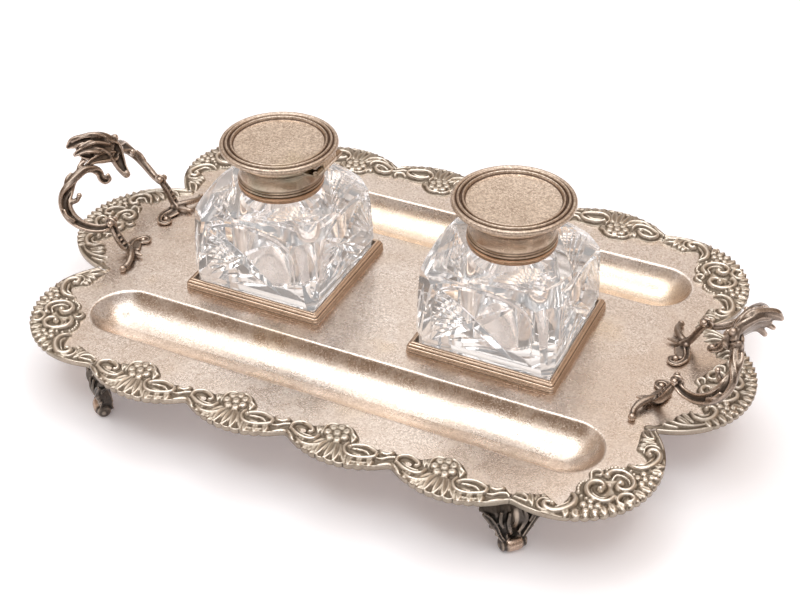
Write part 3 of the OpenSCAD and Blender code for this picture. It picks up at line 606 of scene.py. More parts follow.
def border_casting(name, x0, x1, y0, y1, material):
    """One casting cut from the height field, with its skirt over the tray's edge."""
    i0, i1 = np.searchsorted(GX, x0 - 0.001), np.searchsorted(GX, x1 + 0.001)
    j0, j1 = np.searchsorted(GY, y0 - 0.001), np.searchsorted(GY, y1 + 0.001)
    s = slice(i0, i1), slice(j0, j1)
    depth, height = DEPTH[s], HEIGHT[s]
    cell = all_corners(depth > 0.12) & any_corner(height > FLOOR_Z - 0.05)
    full = np.pad(cell, 1)
    used = any_corner(full)
    index = np.full(used.shape, -1)
    index[used] = np.arange(used.sum())
    # points on the tray's outline
    edge = used & (depth < GRID * 2.2) & ~all_corners(full)
    x, y = PX[s].copy(), PY[s].copy()
    x[edge], y[edge] = onto_outline(x[edge], y[edge])
    z = height.copy()
    z[edge] = np.minimum(z[edge], BORDER_Z + 0.1)
    verts = np.stack([x[used], y[used], z[used]], 1)
    ci, cj = np.nonzero(cell)
    faces = np.stack([index[ci, cj], index[ci + 1, cj], index[ci + 1, cj + 1], index[ci, cj + 1]], 1)
    # the edges that belong to one face only and run along the outline
    pairs = np.concatenate([faces[:, [a, (a + 1) % 4]] for a in range(4)])
    key = np.sort(pairs, 1)
    _, first, count = np.unique(key[:, 0] * len(verts) + key[:, 1], return_index=True, return_counts=True)
    border = pairs[first[count == 1]]
    on_edge = np.zeros(len(verts), bool)
    on_edge[index[edge]] = True
    border = border[on_edge[border[:, 0]] & on_edge[border[:, 1]]]
    ids = np.unique(border)
    # the skirt runs toward the centre of the lobe that owns the point
    centre = np.array([lobe[:3] for lobe in LOBES])
    p = verts[ids, :2]
    owner = np.argmax([c[2] - np.hypot(p[:, 0] - c[0], p[:, 1] - c[1]) for c in centre], 0)
    inward = centre[owner, :2] - p
    inward /= np.linalg.norm(inward, axis=1)[:, None]
    place = np.full(len(verts), -1)
    place[ids] = np.arange(len(ids))
    a, b = place[border[:, 0]], place[border[:, 1]]
    base, n = len(verts), len(ids)
    quads = [faces, np.stack([border[:, 1], border[:, 0], base + a, base + b], 1)]
    for k in range(len(SKIRT) - 1):
        lo, hi = base + k * n, base + (k + 1) * n
        quads.append(np.stack([lo + b, lo + a, hi + a, hi + b], 1))
    skirt = [np.column_stack([p + inward * d, np.full(n, h)]) for d, h, _ in SKIRT]
    cav = np.concatenate([PATINA_AND_SHADE[s][used]] + [np.full(n, c) for _, _, c in SKIRT])
    proud = np.concatenate([PROUD[s][used], np.zeros(n * len(SKIRT))])
    return piece(name, np.vstack([verts] + skirt), np.vstack(quads), material, slot="cast_silver",
                 replaces=(name,), attributes={"cav": cav, "proud": proud})


M_CAST = silver("cast_silver", (0.53, 0.455, 0.375), (0.41, 0.35, 0.285), (0.25, 0.20, 0.155), rough=0.3, grain=0.7,
                patina=(0.185, 0.15, 0.115), pits=0.1, rough_dark=0.5, worn_and_sheen=(0.79, 0.715, 0.625),
                stain=(0.40, 0.36, 0.29))
# the plate's warm colour is painted shade in the pen wells
M_PLATE = silver("tray_silver", (0.95, 0.88, 0.825), (0.87, 0.78, 0.705), (0.46, 0.365, 0.30), rough=0.26, grain=1.1,
                 pits=1.0, tint=(0.86, 0.72, 0.56), stain=(0.72, 0.60, 0.505), warm=(0.72, 0.575, 0.43))
M_MOULD = silver("moulding_silver", (0.84, 0.645, 0.50), (0.69, 0.535, 0.415), (0.37, 0.27, 0.2), rough=0.2,
                 grain=0.7, patina=(0.16, 0.12, 0.09), pits=0.2)

border_casting("border_front", -SPLIT_X, SPLIT_X, -HALF_Y, -50, M_CAST)
border_casting("border_back", -SPLIT_X, SPLIT_X, 50, HALF_Y, M_CAST)
for side, sx in SIDES:
    xs = sorted((sx * SPLIT_X, sx * HALF_X))
    for face, sy in FACES:
        ys = sorted((sy * SPLIT_Y, sy * HALF_Y))
        border_casting(f"border_corner_{face}_{side}", *xs, *ys, M_CAST)
    border_casting(f"border_end_{side}", *xs, -SPLIT_Y, SPLIT_Y, M_CAST)


# Tray plate with its two pen wells

def stadium(cx, cy, half, r, n=40):
    """Points round a pen well's spine at distance r."""
    a = np.linspace(-math.pi / 2, math.pi / 2, n)
    right = np.column_stack([half + r * np.cos(a), r * np.sin(a)])
    xs = np.linspace(half, -half, 30)[1:-1]
    top = np.column_stack([xs, np.full_like(xs, r)])
    left = np.column_stack([-half - r * np.cos(a), -r * np.sin(a)])
    bottom = np.column_stack([xs[::-1], np.full_like(xs, -r)])
    return np.vstack([right, top, left, bottom]) + (cx, cy)


WELL_TURN = 16.4  # distance from the spine where a well's round side runs out straight
WELL_RINGS = [0.01, 3, 6, 9, 11.5, 13, 14, 14.5, 15, 15.5, 16, 16.7, 17.5, 19]


def well_height(rho):
    """Section of a pen well with a soft lip."""
    inside = WELL_AXIS - math.sqrt(WELL_R ** 2 - min(rho, WELL_TURN) ** 2) + max(rho - WELL_TURN, 0) * 3.5
    soft_lip = 0.32
    return FLOOR_Z - soft_lip * math.log(math.exp(-(inside - FLOOR_Z) / soft_lip) + 1)


def well_distance(x, y):
    """Distance to the spine of the nearer pen well."""
    return np.min([np.hypot(np.clip(np.abs(x) - WELL_END, 0, None), y - sy * WELL_Y) for sy in (-1, 1)], 0)


def plate_edge(angles):
    """Points of the plate's plain edge, which stays inside the castings' skirts."""
    outer = []
    for a in angles:
        d = np.array([math.cos(a), math.sin(a)])
        t = 0.0
        for lobe in LOBES:
            c, r = np.array(lobe[:2]), lobe[2] - LIP_W - 0.6
            b = d @ c
            disc = b * b - c @ c + r * r
            if disc > 0:
                t = max(t, b + math.sqrt(disc))
        outer.append(d * t)
    return np.array(outer)


def tray_plate():
    """Top and underside, each with the rings of two wells and a flat part between them, joined round the edge."""
    angles = np.linspace(0, TAU, 361)
    outer = plate_edge(angles[:-1])
    reach = np.hypot(*np.vstack([outer, outer[:1]]).T)
    spots = np.array([(x, y) for x in np.arange(-150, 151, 12.0) for y in np.arange(-96, 97, 12.0)])
    spots = spots[(well_distance(*spots.T) > 22) & (outline_depth(*spots.T) > 6)]
    verts, faces, starts = [], [], []
    count = 0
    for top in (True, False):
        lift = 0.0 if top else -SHEET
        flat = [outer]
        for sy in (-1, 1):
            rings = [stadium(0, sy * WELL_Y, WELL_END, rho) for rho in WELL_RINGS]
            verts += [np.column_stack([p, np.full(len(p), well_height(rho) + lift)]) for p,
                      rho in zip(rings, WELL_RINGS)]
            quads = grid_faces(len(rings), len(rings[0]), close_cols=True) + count
            faces.append(quads[:, ::-1] if top else quads)
            count += sum(map(len, rings))
            flat.append(rings[-1])
        edges, start = [], 0
        for ring in flat:
            edges += [(start + j, start + (j + 1) % len(ring)) for j in range(len(ring))]
            start += len(ring)
        v, _, tri, _, _, _ = delaunay_2d_cdt([Vector(p) for p in np.vstack(flat + [spots])], edges, [], 0, 0.001)
        v, tri = np.array(v), np.array(tri)
        x, y = v[tri].mean(1).T
        inside = np.hypot(x, y) < np.interp(np.arctan2(y, x) % TAU, angles, reach)
        tri = tri[(well_distance(x, y) > WELL_RINGS[-1] - 0.02) & inside]
        tri = np.column_stack([tri, tri[:, 2]]) + count
        faces.append(tri if top else tri[:, ::-1])
        verts.append(np.column_stack([v, np.full(len(v), FLOOR_Z + lift)]))
        starts.append(count)
        count += len(v)
    n = len(outer)
    j = np.arange(n)
    upper, lower = starts
    faces.append(np.stack([lower + j, lower + (j + 1) % n, upper + (j + 1) % n, upper + j], 1))
    polys = [tuple(dict.fromkeys(f)) for f in np.vstack(faces).tolist()]
    v = np.vstack(verts)
    # painted shade: the wells' sides are painted a darker gold, strongly in the back well and faintly in the front
    # one
    well_painted_shade = np.clip((FLOOR_Z - 1.4 - v[:, 2]) / 4, 0, 1) * np.where(v[:, 1] > 0, 0.9, 0.25)
    return piece("tray_plate_sheet", v, polys, M_PLATE, replaces=("tray_plate",), attributes={"warm": well_painted_shade})


plate = tray_plate()
plate.data.set_sharp_from_angle(angle=math.radians(60))
weld(plate, 0.01)


# Galleries: drawn moulding round each bottle

def square_ring(half, r, n=8):
    """Points of a square with round corners, anticlockwise; straight runs keep their end points."""
    pts = []
    for k, (sx, sy) in enumerate(((1, 1), (-1, 1), (-1, -1), (1, -1))):
        for a in np.linspace(0, 90, n):
            t = math.radians(a + 90 * k)
            pts.append((sx * (half - r) + r * math.cos(t), sy * (half - r) + r * math.sin(t)))
    return np.array(pts)


# Section of the moulding: inset from its outer face, height over the plate
GALLERY_HALF, GALLERY_R = 32.65, 2.0
GALLERY = [(3.25, -0.2), (3.25, 4.6), (3.05, 4.95), (2.7, 5.08), (2.2, 5.08), (1.85, 4.92), (1.7, 4.55), (1.5, 4.35),
           (1.15, 4.4), (0.9, 4.2), (0.78, 3.85), (0.95, 3.5), (0.9, 3.3), (0.5, 3.3), (0.22, 3.0), (0.2, 2.6),
           (0.5, 2.25), (0.55, 2.05), (0.35, 1.95), (0.1, 1.7), (0.1, 1.35), (0.4, 1.05), (0.45, 0.85), (0.15, 0.7),
           (0.0, 0.45), (0.0, 0.1), (-0.1, -0.2)]
for side, sx in SIDES:
    rows, cav = [], []
    for k, (inset, h) in enumerate(GALLERY):
        ring = square_ring(GALLERY_HALF - max(inset, 0.0), max(GALLERY_R - inset, 0.35))
        rows.append(np.column_stack([ring + (sx * INKWELL_X, 0), np.full(len(ring), FLOOR_Z + h)]))
        nearby = np.mean([g[0] for g in GALLERY[max(0, k - 2):k + 3]])
        cav += [min(1.0, max(0.0, (inset - nearby) * 3.2 + (0.2 if h < 0.4 else 0.0)))] * len(ring)
    piece(f"gallery_frame_{side}", np.vstack(rows), grid_faces(len(rows), len(rows[0]), close_cols=True)[:, ::-1],
          M_MOULD, slot="moulding_silver", replaces=(f"gallery_{side}",), attributes={"cav": cav})


# Castings made of sweeps and balls fused into one skin

VOXEL = 0.34  # cell of the fused skins
# Sections of a bar, in shares of its half width and half thickness
ROUND = [(math.cos(t), math.sin(t)) for t in np.linspace(0, TAU, 17)[:-1]]
GUTTER = [(1.0, -0.2), (1.0, 0.75), (0.86, 1.0), (0.7, 0.8), (0.58, 0.1), (0.3, -0.15), (0.0, -0.2), (-0.3, -0.15),
          (-0.58, 0.1), (-0.7, 0.8), (-0.86, 1.0), (-1.0, 0.75), (-1.0, -0.2), (-0.72, -0.85), (0.0, -1.0),
          (0.72, -0.85)]
CHANNEL = [(1.0, -0.3), (0.95, 0.6), (0.75, 0.95), (0.5, 0.85), (0.3, 0.45), (0.0, 0.3), (-0.3, 0.45), (-0.5, 0.85),
           (-0.75, 0.95), (-0.95, 0.6), (-1.0, -0.3), (-0.6, -0.9), (0.0, -1.0), (0.6, -0.9)]


def unit(v):
    """Vectors at length 1."""
    return v / np.maximum(np.linalg.norm(v, axis=-1, keepdims=True), 1e-9)


def sweep(knots, face, section=ROUND, steps=6):
    """A bar along a smooth curve. Knots are x, y, z, half width and half thickness; face is where the top looks."""
    k = smooth_line(knots, steps)
    p = k[:, :3]
    tan = unit(np.gradient(p, axis=0))
    f = np.array(face, float)
    f = smooth_line(f, steps) if f.ndim == 2 else np.tile(f, (len(p), 1))
    f = unit(f - np.sum(f * tan, 1)[:, None] * tan)
    w = np.cross(tan, f)
    caps = np.radians([75, 50, 25])

    def cap(i, way, a):
        c = math.cos(a)
        return p[i] + way * tan[i] * k[i, 4] * math.sin(a), w[i], f[i], k[i, 3] * c, k[i, 4] * c

    rows = [cap(0, -1, a) for a in caps] + list(zip(p, w, f, k[:, 3], k[:, 4])) + [cap(-1, 1, a) for a in caps[::-1]]
    verts = np.vstack([[c + u * (s[0] * hw) + v * (s[1] * ht) for s in section] for c, u, v, hw, ht in rows])
    n, m = len(rows), len(section)
    faces = grid_faces(n, m, close_cols=True).tolist() + [list(range(m))[::-1], list(range((n - 1) * m, n * m))]
    return verts, faces


def knob(c, r, scale=(1, 1, 1), n=12):
    """A ball or button."""
    verts = [(0, 0, 1)]
    for i in range(1, n):
        for j in range(2 * n):
            a, b = math.pi * i / n, math.pi * j / n
            verts.append((math.sin(a) * math.cos(b), math.sin(a) * math.sin(b), math.cos(a)))
    verts.append((0, 0, -1))
    faces = [[0, 1 + j, 1 + (j + 1) % (2 * n)] for j in range(2 * n)]
    faces += (grid_faces(n - 1, 2 * n, close_cols=True)[:, ::-1] + 1).tolist()
    last = len(verts) - 1
    faces += [[last, last - 2 * n + (j + 1) % (2 * n), last - 2 * n + j] for j in range(2 * n)]
    return np.array(verts) * np.array(scale) * r + np.array(c, float), faces


def moved(part, angle=0.0, shift=(0, 0, 0), mirror_y=False):
    """A part mirrored across the X axis, then turned about Z, then shifted."""
    v, f = part
    v = v.copy()
    if mirror_y:
        v[:, 1] *= -1
        f = [face[::-1] for face in f]
    c, s = math.cos(math.radians(angle)), math.sin(math.radians(angle))
    v = np.column_stack([v[:, 0] * c - v[:, 1] * s, v[:, 0] * s + v[:, 1] * c, v[:, 2]]) + np.array(shift, float)
    return v, f


def evaluated(o):
    """Points, normals, faces and edges of an object with its modifiers applied; the object is then removed."""
    mesh = bpy.data.meshes.new_from_object(o.evaluated_get(bpy.context.evaluated_depsgraph_get()))
    v = np.empty(len(mesh.vertices) * 3)
    mesh.vertices.foreach_get("co", v)
    n = np.empty(len(mesh.vertices) * 3)
    mesh.vertices.foreach_get("normal", n)
    faces = [list(p.vertices) for p in mesh.polygons]
    e = np.empty(len(mesh.edges) * 2, np.int32)
    mesh.edges.foreach_get("vertices", e)
    bpy.data.meshes.remove(mesh)
    discard(o)
    return v.reshape(-1, 3), n.reshape(-1, 3), faces, e.reshape(-1, 2)


def neighbours_mean(values, edges, count):
    """The mean of each point's neighbours."""
    total = np.stack([np.bincount(edges[:, 0], values[edges[:, 1], c], count) + np.bincount(edges[:, 1],
            values[edges[:, 0], c], count)
                      for c in range(values.shape[1])], 1)
    return total / np.maximum(np.bincount(edges.ravel(), minlength=count), 1)[:, None]


def fuse(parts):
    """One closed skin round overlapping parts, and how hollow and how proud each point lies, from 0 to 1."""
    verts, faces, count = [], [], 0
    for v, f in parts:
        verts.append(v)
        faces += [[i + count for i in face] for face in f]
        count += len(v)
    mesh = bpy.data.meshes.new("fuse")
    mesh.from_pydata([tuple(p) for p in np.vstack(verts)], [], faces)
    o = linked("fuse", mesh)
    m = o.modifiers.new("fuse", "REMESH")
    m.mode = "VOXEL"
    m.voxel_size = VOXEL
    v, n, quads, edges = evaluated(o)
    for _ in range(2):
        v = v + 0.5 * (neighbours_mean(v, edges, len(v)) - v)
    mean, hollow = v, []
    for rounds in (5, 20):
        for _ in range(rounds):
            mean = mean + 0.6 * (neighbours_mean(mean, edges, len(v)) - mean)
        hollow.append(np.sum((mean - v) * n, 1))
    cav = np.clip(np.maximum(hollow[0] / 0.12, hollow[1] / 0.34), 0, 1)
    proud = np.clip(-hollow[0] / 0.12, 0, 1)
    return v, quads, cav, proud


def cast_piece(name, fused, material, **where):
    """A piece from a fused skin and the values of its points."""
    v, quads, *values = fused
    return piece(name, v, quads, material, attributes=dict(zip(("cav", "proud", "warm"), values)), **where)


# Handles: one casting; the left handle is the right one turned about the middle

# The leg's line, its half widths and where its channel looks, from the stem's top to the crest
LEG = [(131, 20.6, 40.4), (134.5, 22.8, 39.2), (139, 25.2, 39.8), (143.6, 27, 42), (147.6, 27.4, 45.2),
       (150.6, 26, 49), (152, 23, 52.6), (151.6, 17.6, 56.8), (150.2, 11.5, 59.2)]
LEG_WIDTH = [1.7, 1.9, 2.2, 2.5, 2.8, 3.0, 3.0, 2.9, 2.8]


LEG_FACE = [(-0.3, 0.5, 0.8), (-0.3, 0.55, 0.75), (-0.4, 0.6, 0.7), (-0.55, 0.6, 0.5), (-0.62, 0.72, 0.3),
            (-0.62, 0.78, 0.1), (-0.55, 0.75, -0.25), (-0.5, 0.45, -0.7), (-0.5, 0.2, -0.8)]


def handle_leg(side):
    """Leg with terminal, on the +Y side of the casting; side is 1 for the one that ends in a curl."""
    parts = []
    path = [(x, y, z, w, 0.3 + 0.62 * w) for (x, y, z), w in zip(LEG, LEG_WIDTH)]
    face = list(LEG_FACE)
    if side > 0:
        path += [(147.8, 7.2, 58.6, 2.2, 1.6), (145.9, 5.4, 56.2, 1.9, 1.4), (145.2, 5.2, 53, 1.6, 1.2),
                 (144.0, 4.2, 51.2, 1.4, 1.2), (142.7, 2.8, 52.1, 1.2, 1.1), (143.3, 2.6, 53.8, 1.0, 1.0)]
        face += [(-0.6, 0.1, -0.75), (-0.75, 0.3, -0.3), (-0.7, 0.4, 0.3), (-0.5, 0.5, 0.6), (0.2, 0.6, 0.7),
                 (0.7, 0.4, 0.4)]
        parts.append(knob((143.8, 3.6, 53.0), 1.1))
    else:
        path += [(148.9, 8.4, 61.6, 2.6, 1.8)]
        face += [(-0.5, 0.2, -0.8)]
    parts.append(sweep(path, face, CHANNEL, 7))
    # spurs on the inner and outer side of the leg; the first ends in a ball
    for spur in ([(149.0, 24.2, 50.2, 1.6, 1.3), (147.0, 22.2, 50.6, 1.2, 1.1), (146.0, 21.2, 52.4, 1.0, 0.9)],
                 [(152.6, 21.6, 54.6, 1.7, 1.4), (153.6, 18.6, 57.8, 1.1, 1.0), (153.0, 16.2, 59.6, 0.7, 0.7)],
                 [(150.4, 13.6, 59.2, 1.5, 1.3), (151.4, 11.2, 61.4, 1.1, 1.0), (150.6, 9.0, 62.6, 0.8, 0.8)],
                 [(145.6, 28.4, 43.6, 1.4, 1.2), (147.8, 29.4, 46.0, 1.0, 0.9), (149.4, 28.6, 48.4, 0.6, 0.6)]):
        parts.append(sweep(spur, (0.5, 0.5, 0.5)))
    parts.append(knob((146.0, 21.1, 52.8), 1.25))
    # knuckle at the top of the stem: a loop seen from the side, between two buttons
    for y, z in ((18.4, 42.8), (21.9, 42.2)):
        parts.append(knob((130.4, y, z), 1.55))
    loop = [(131.2 + 1.9 * math.cos(t), 20.2, 41.6 + 1.9 * math.sin(t), 1.1,
             0.75) for t in np.radians(np.arange(-60, 231, 29))]
    parts.append(sweep(loop, (0, 1, 0), steps=3))
    # ribbed stem from the fork up to the knuckle
    stem = [(122.6, 19.4, 28.9, 2.0, 1.7), (125.4, 20.4, 31.0, 2.1, 1.7), (127.4, 20.8, 34.4, 2.1, 1.6),
            (129.2, 20.6, 38.0, 1.9, 1.5), (131, 20.2, 41, 1.6, 1.3)]
    parts.append(sweep(stem, (-0.75, 0.2, 0.6), CHANNEL))
    for i in (0.88, 1.44, 2.0, 2.56):
        a, b = np.array(stem[int(i)][:3]), np.array(stem[int(i) + 1][:3])
        parts.append(knob(a + (b - a) * (i % 1), 1.95, (1.0, 1.0, 0.36), 8))
    # horn that runs outward and ends in a rounded foot
    parts.append(sweep([(124.6, 18.4, 29.8, 1.4, 1.3), (121.6, 21.4, 30.3, 1.6, 1.4), (119, 25.2, 30.0, 1.6, 1.4),
                        (117.8, 29, 29.3, 1.35, 1.2), (118.1, 32.2, 28.6, 1.3, 1.2)], (0, 0, 1)))
    parts.append(knob((118.2, 32.8, 28.5), 1.6))
    # short tip, then the leaf volute that curls in over the plate
    parts.append(sweep([(116.4, 20.6, 28.6, 0.7, 0.6), (118.8, 20.4, 28.9, 1.3, 0.9), (121.6, 19.8, 29.2, 1.7, 1.2)],
                       (0, 0, 1)))
    parts.append(sweep([(121.6, 20.4, 28.8, 1.6, 0.9), (124.8, 18.2, 28.6, 1.7, 0.85), (126.6, 13.8, 28.3, 1.4, 0.8),
                        (126.4, 9.8, 28.2, 1.25, 0.75), (124.2, 6.6, 28.1, 1.1, 0.75), (121.2, 6.9, 28.1, 0.95, 0.7),
                        (120.4, 9.4, 28.1, 0.8, 0.7), (122.2, 11, 28.1, 0.7, 0.65)],
                       (0, 0, 1), CHANNEL))
    parts.append(sweep([(122.4, 17.6, 28.1, 2.6, 0.6), (123.8, 14.2, 28.0, 2.7, 0.55), (124.0, 11.4, 27.9, 1.8, 0.5)],
                       (0, 0, 1)))
    parts.append(knob((122.8, 9.6, 28.3), 1.3))
    return parts


def leaf_lobe(line, width, thick, face):
    """A lobe of the crest: widest before its middle, rounded at its tip."""
    n = len(line)
    out = []
    for i, p in enumerate(line):
        t = i / (n - 1)
        s = 0.55 + 0.45 * math.sin(math.pi * min(1, t * 1.25 + 0.15)) if t < 0.7 else 0.35 + 0.65 * (1 - t) / 0.3
        out.append((*p, width * max(s, 0.34), thick * max(s, 0.5)))
    return sweep(out, face, CHANNEL)


def handle_crest():
    """Acanthus crest: a broad hollow leaf with fanned tips, raised veins and a finger that curls down and inward."""
    up = (-0.45, 0.5, 0.75)
    near = (-0.5, 0.65, 0.45)
    parts = [
        sweep([(140.2, -6.2, 50.6, 1.8, 1.6), (143.0, -7.2, 52.8, 2.6, 1.8), (145.4, -8.2, 56.2, 3.4, 2.0),
               (147.4, -8.6, 60.4, 4.2, 2.2), (150.0, -5.6, 64.8, 4.6, 2.1), (153.4, -1.6, 66.4, 4.2, 1.9),
               (157.0, 1.4, 65.8, 3.0, 1.5)],
              [(-0.75, 0.1, 0.6), (-0.75, 0.15, 0.55), (-0.7, 0.2, 0.5), (-0.6, 0.3, 0.6), (-0.45, 0.45, 0.75),
               (-0.3, 0.55, 0.75), (-0.2, 0.6, 0.75)], GUTTER),
        sweep([(146.4, -9.2, 59.6, 4.8, 1.8), (149.0, -5.2, 61.2, 5.6, 1.9), (152.2, -1.4, 62.2, 5.2, 1.8),
               (155.2, 1.2, 62.6, 3.8, 1.5), (157.8, 2.8, 62.6, 2.0, 1.2)],
              near, GUTTER),
        leaf_lobe([(149.0, -8.4, 64.2), (152.0, -3.4, 67.8), (156.2, 0.4, 68.2), (159.8, 3, 66.8),
                   (162.2, 4.4, 64.9)], 3.0, 2.0, near),
        leaf_lobe([(148.4, -6.6, 62.4), (150.6, -0.6, 65.0), (153.2, 4.4, 65.6), (155.5, 7.5, 64.6)], 3.2, 2.1, near),
        leaf_lobe([(147.4, -7.4, 59.6), (150.4, -2.2, 61.0), (154.6, 1.2, 60.0), (157.2, 3.7, 56.2)], 3.0, 2.0, near),
        leaf_lobe([(146.6, -8, 57.8), (148.2, -2.6, 59.4), (149.8, 3.6, 60.2), (150.2, 9.2, 59.6)], 3.0, 2.1, near),
        leaf_lobe([(148.8, -6, 61.6), (152.6, -1.4, 63.2), (156.6, 1.8, 62.6), (160.0, 3.2, 60.6)], 2.7, 1.8, near)]
    parts.append(sweep([(147.6, -8.4, 61.0, 3.2, 1.1), (150.4, -4.4, 62.4, 5.4, 1.05), (153.6, -0.8, 63.0, 5.8, 1.0),
                        (156.6, 1.6, 62.8, 4.0, 0.95), (158.4, 2.8, 62.6, 2.0, 0.85)], near))
    # rolled end of the finger, and the base of the leaf over the second leg
    parts.append(knob((139.7, -6.2, 50.5), 1.9))
    parts.append(sweep([(150.2, -13.4, 59.8, 2.8, 2.0), (148.6, -11.4, 62.8, 2.6, 1.8), (149.4, -7.4, 66, 1.9, 1.5)],
                       up))
    parts.append(sweep([(149.6, -11.6, 58.6, 2.2, 1.7), (147.4, -11.4, 57.4, 1.7, 1.4),
                        (145.8, -12.0, 58.8, 1.3, 1.2)], up))
    parts.append(knob((145.8, -12.1, 59.4), 1.5))
    parts.append(knob((147.6, -11.6, 65.0), 1.7))
    # raised veins
    for line in ([(149.6, -7.6, 66.2), (152.4, -2.6, 69.2), (156, 1.0, 69.6), (160, 3.4, 68)],
                 [(149.8, -5.6, 65.4), (152.2, 0.2, 68), (154.4, 4.6, 67.4)],
                 [(151, -3.6, 63.4), (154, -0.2, 63.4), (156.4, 2.6, 60.6)]):
        parts.append(sweep([(*p, 0.85, 0.85) for p in line], up, steps=5))
    return parts


def handle_casting():
    """The fused skin of one handle."""
    parts = handle_leg(1) + [moved(p, mirror_y=True) for p in handle_leg(-1)] + handle_crest()
    fused = fuse(parts)
    # the crest's tips end just inside the CAD box
    np.minimum(fused[0][:, 0], cad_box[1][0] / MM - 0.1, out=fused[0][:, 0])
    return fused


def turned(fused, angle, shift=(0, 0, 0)):
    """A fused skin turned about Z and then shifted."""
    v, quads, *values = fused
    return moved((v, quads), angle, shift)[0], quads, *values


M_HANDLE = silver("handle_silver", (0.31, 0.245, 0.195), (0.23, 0.18, 0.148), (0.12, 0.093, 0.075), rough=0.24,
                  grain=1.0, patina=(0.06, 0.047, 0.038), pits=0.3, rough_dark=0.5, worn_and_sheen=(0.66, 0.535, 0.445))
# the foot's worn colour also paints a reflection down the middle groove; its warm colour paints the toe copper with a
# highlight
M_FOOT = silver("foot_silver", (0.17, 0.145, 0.12), (0.105, 0.09, 0.08), (0.05, 0.043, 0.037), rough=0.28, grain=0.8,
                patina=(0.03, 0.027, 0.023), pits=0.2, rough_dark=0.5, worn_and_sheen=(0.50, 0.42, 0.345),
                warm=(0.80, 0.60, 0.47))
casting = handle_casting()
for side, angle in (("right", 0), ("left", 180)):
    cast_piece(f"handle_casting_{side}", turned(casting, angle), M_HANDLE, slot="dark_silver",
               replaces=(f"handle_{side}",))


# Feet: leaf knee, drawn-in shin, rolled toe between two discs; modelled looking along +X

FOOT_X, FOOT_Y = 93.0, 91.0
# Height, how far the shield stands out, its half width
FOOT_ROWS = [(26.2, -3.4, 11.4), (24, -1.0, 12.6), (21.6, 1.2, 13.6), (20.2, 1.9, 11.6), (18.6, 2.4, 10.4),
             (16.8, 2.6, 10.2), (15.2, 2.4, 8.2), (13, 1.8, 7.4), (10.6, 0.9, 6.4), (8, 0.2, 5.6), (5.8, 0.3, 4.6),
             (4.2, 0.0, 4.2), (2.4, -0.8, 4.0)]


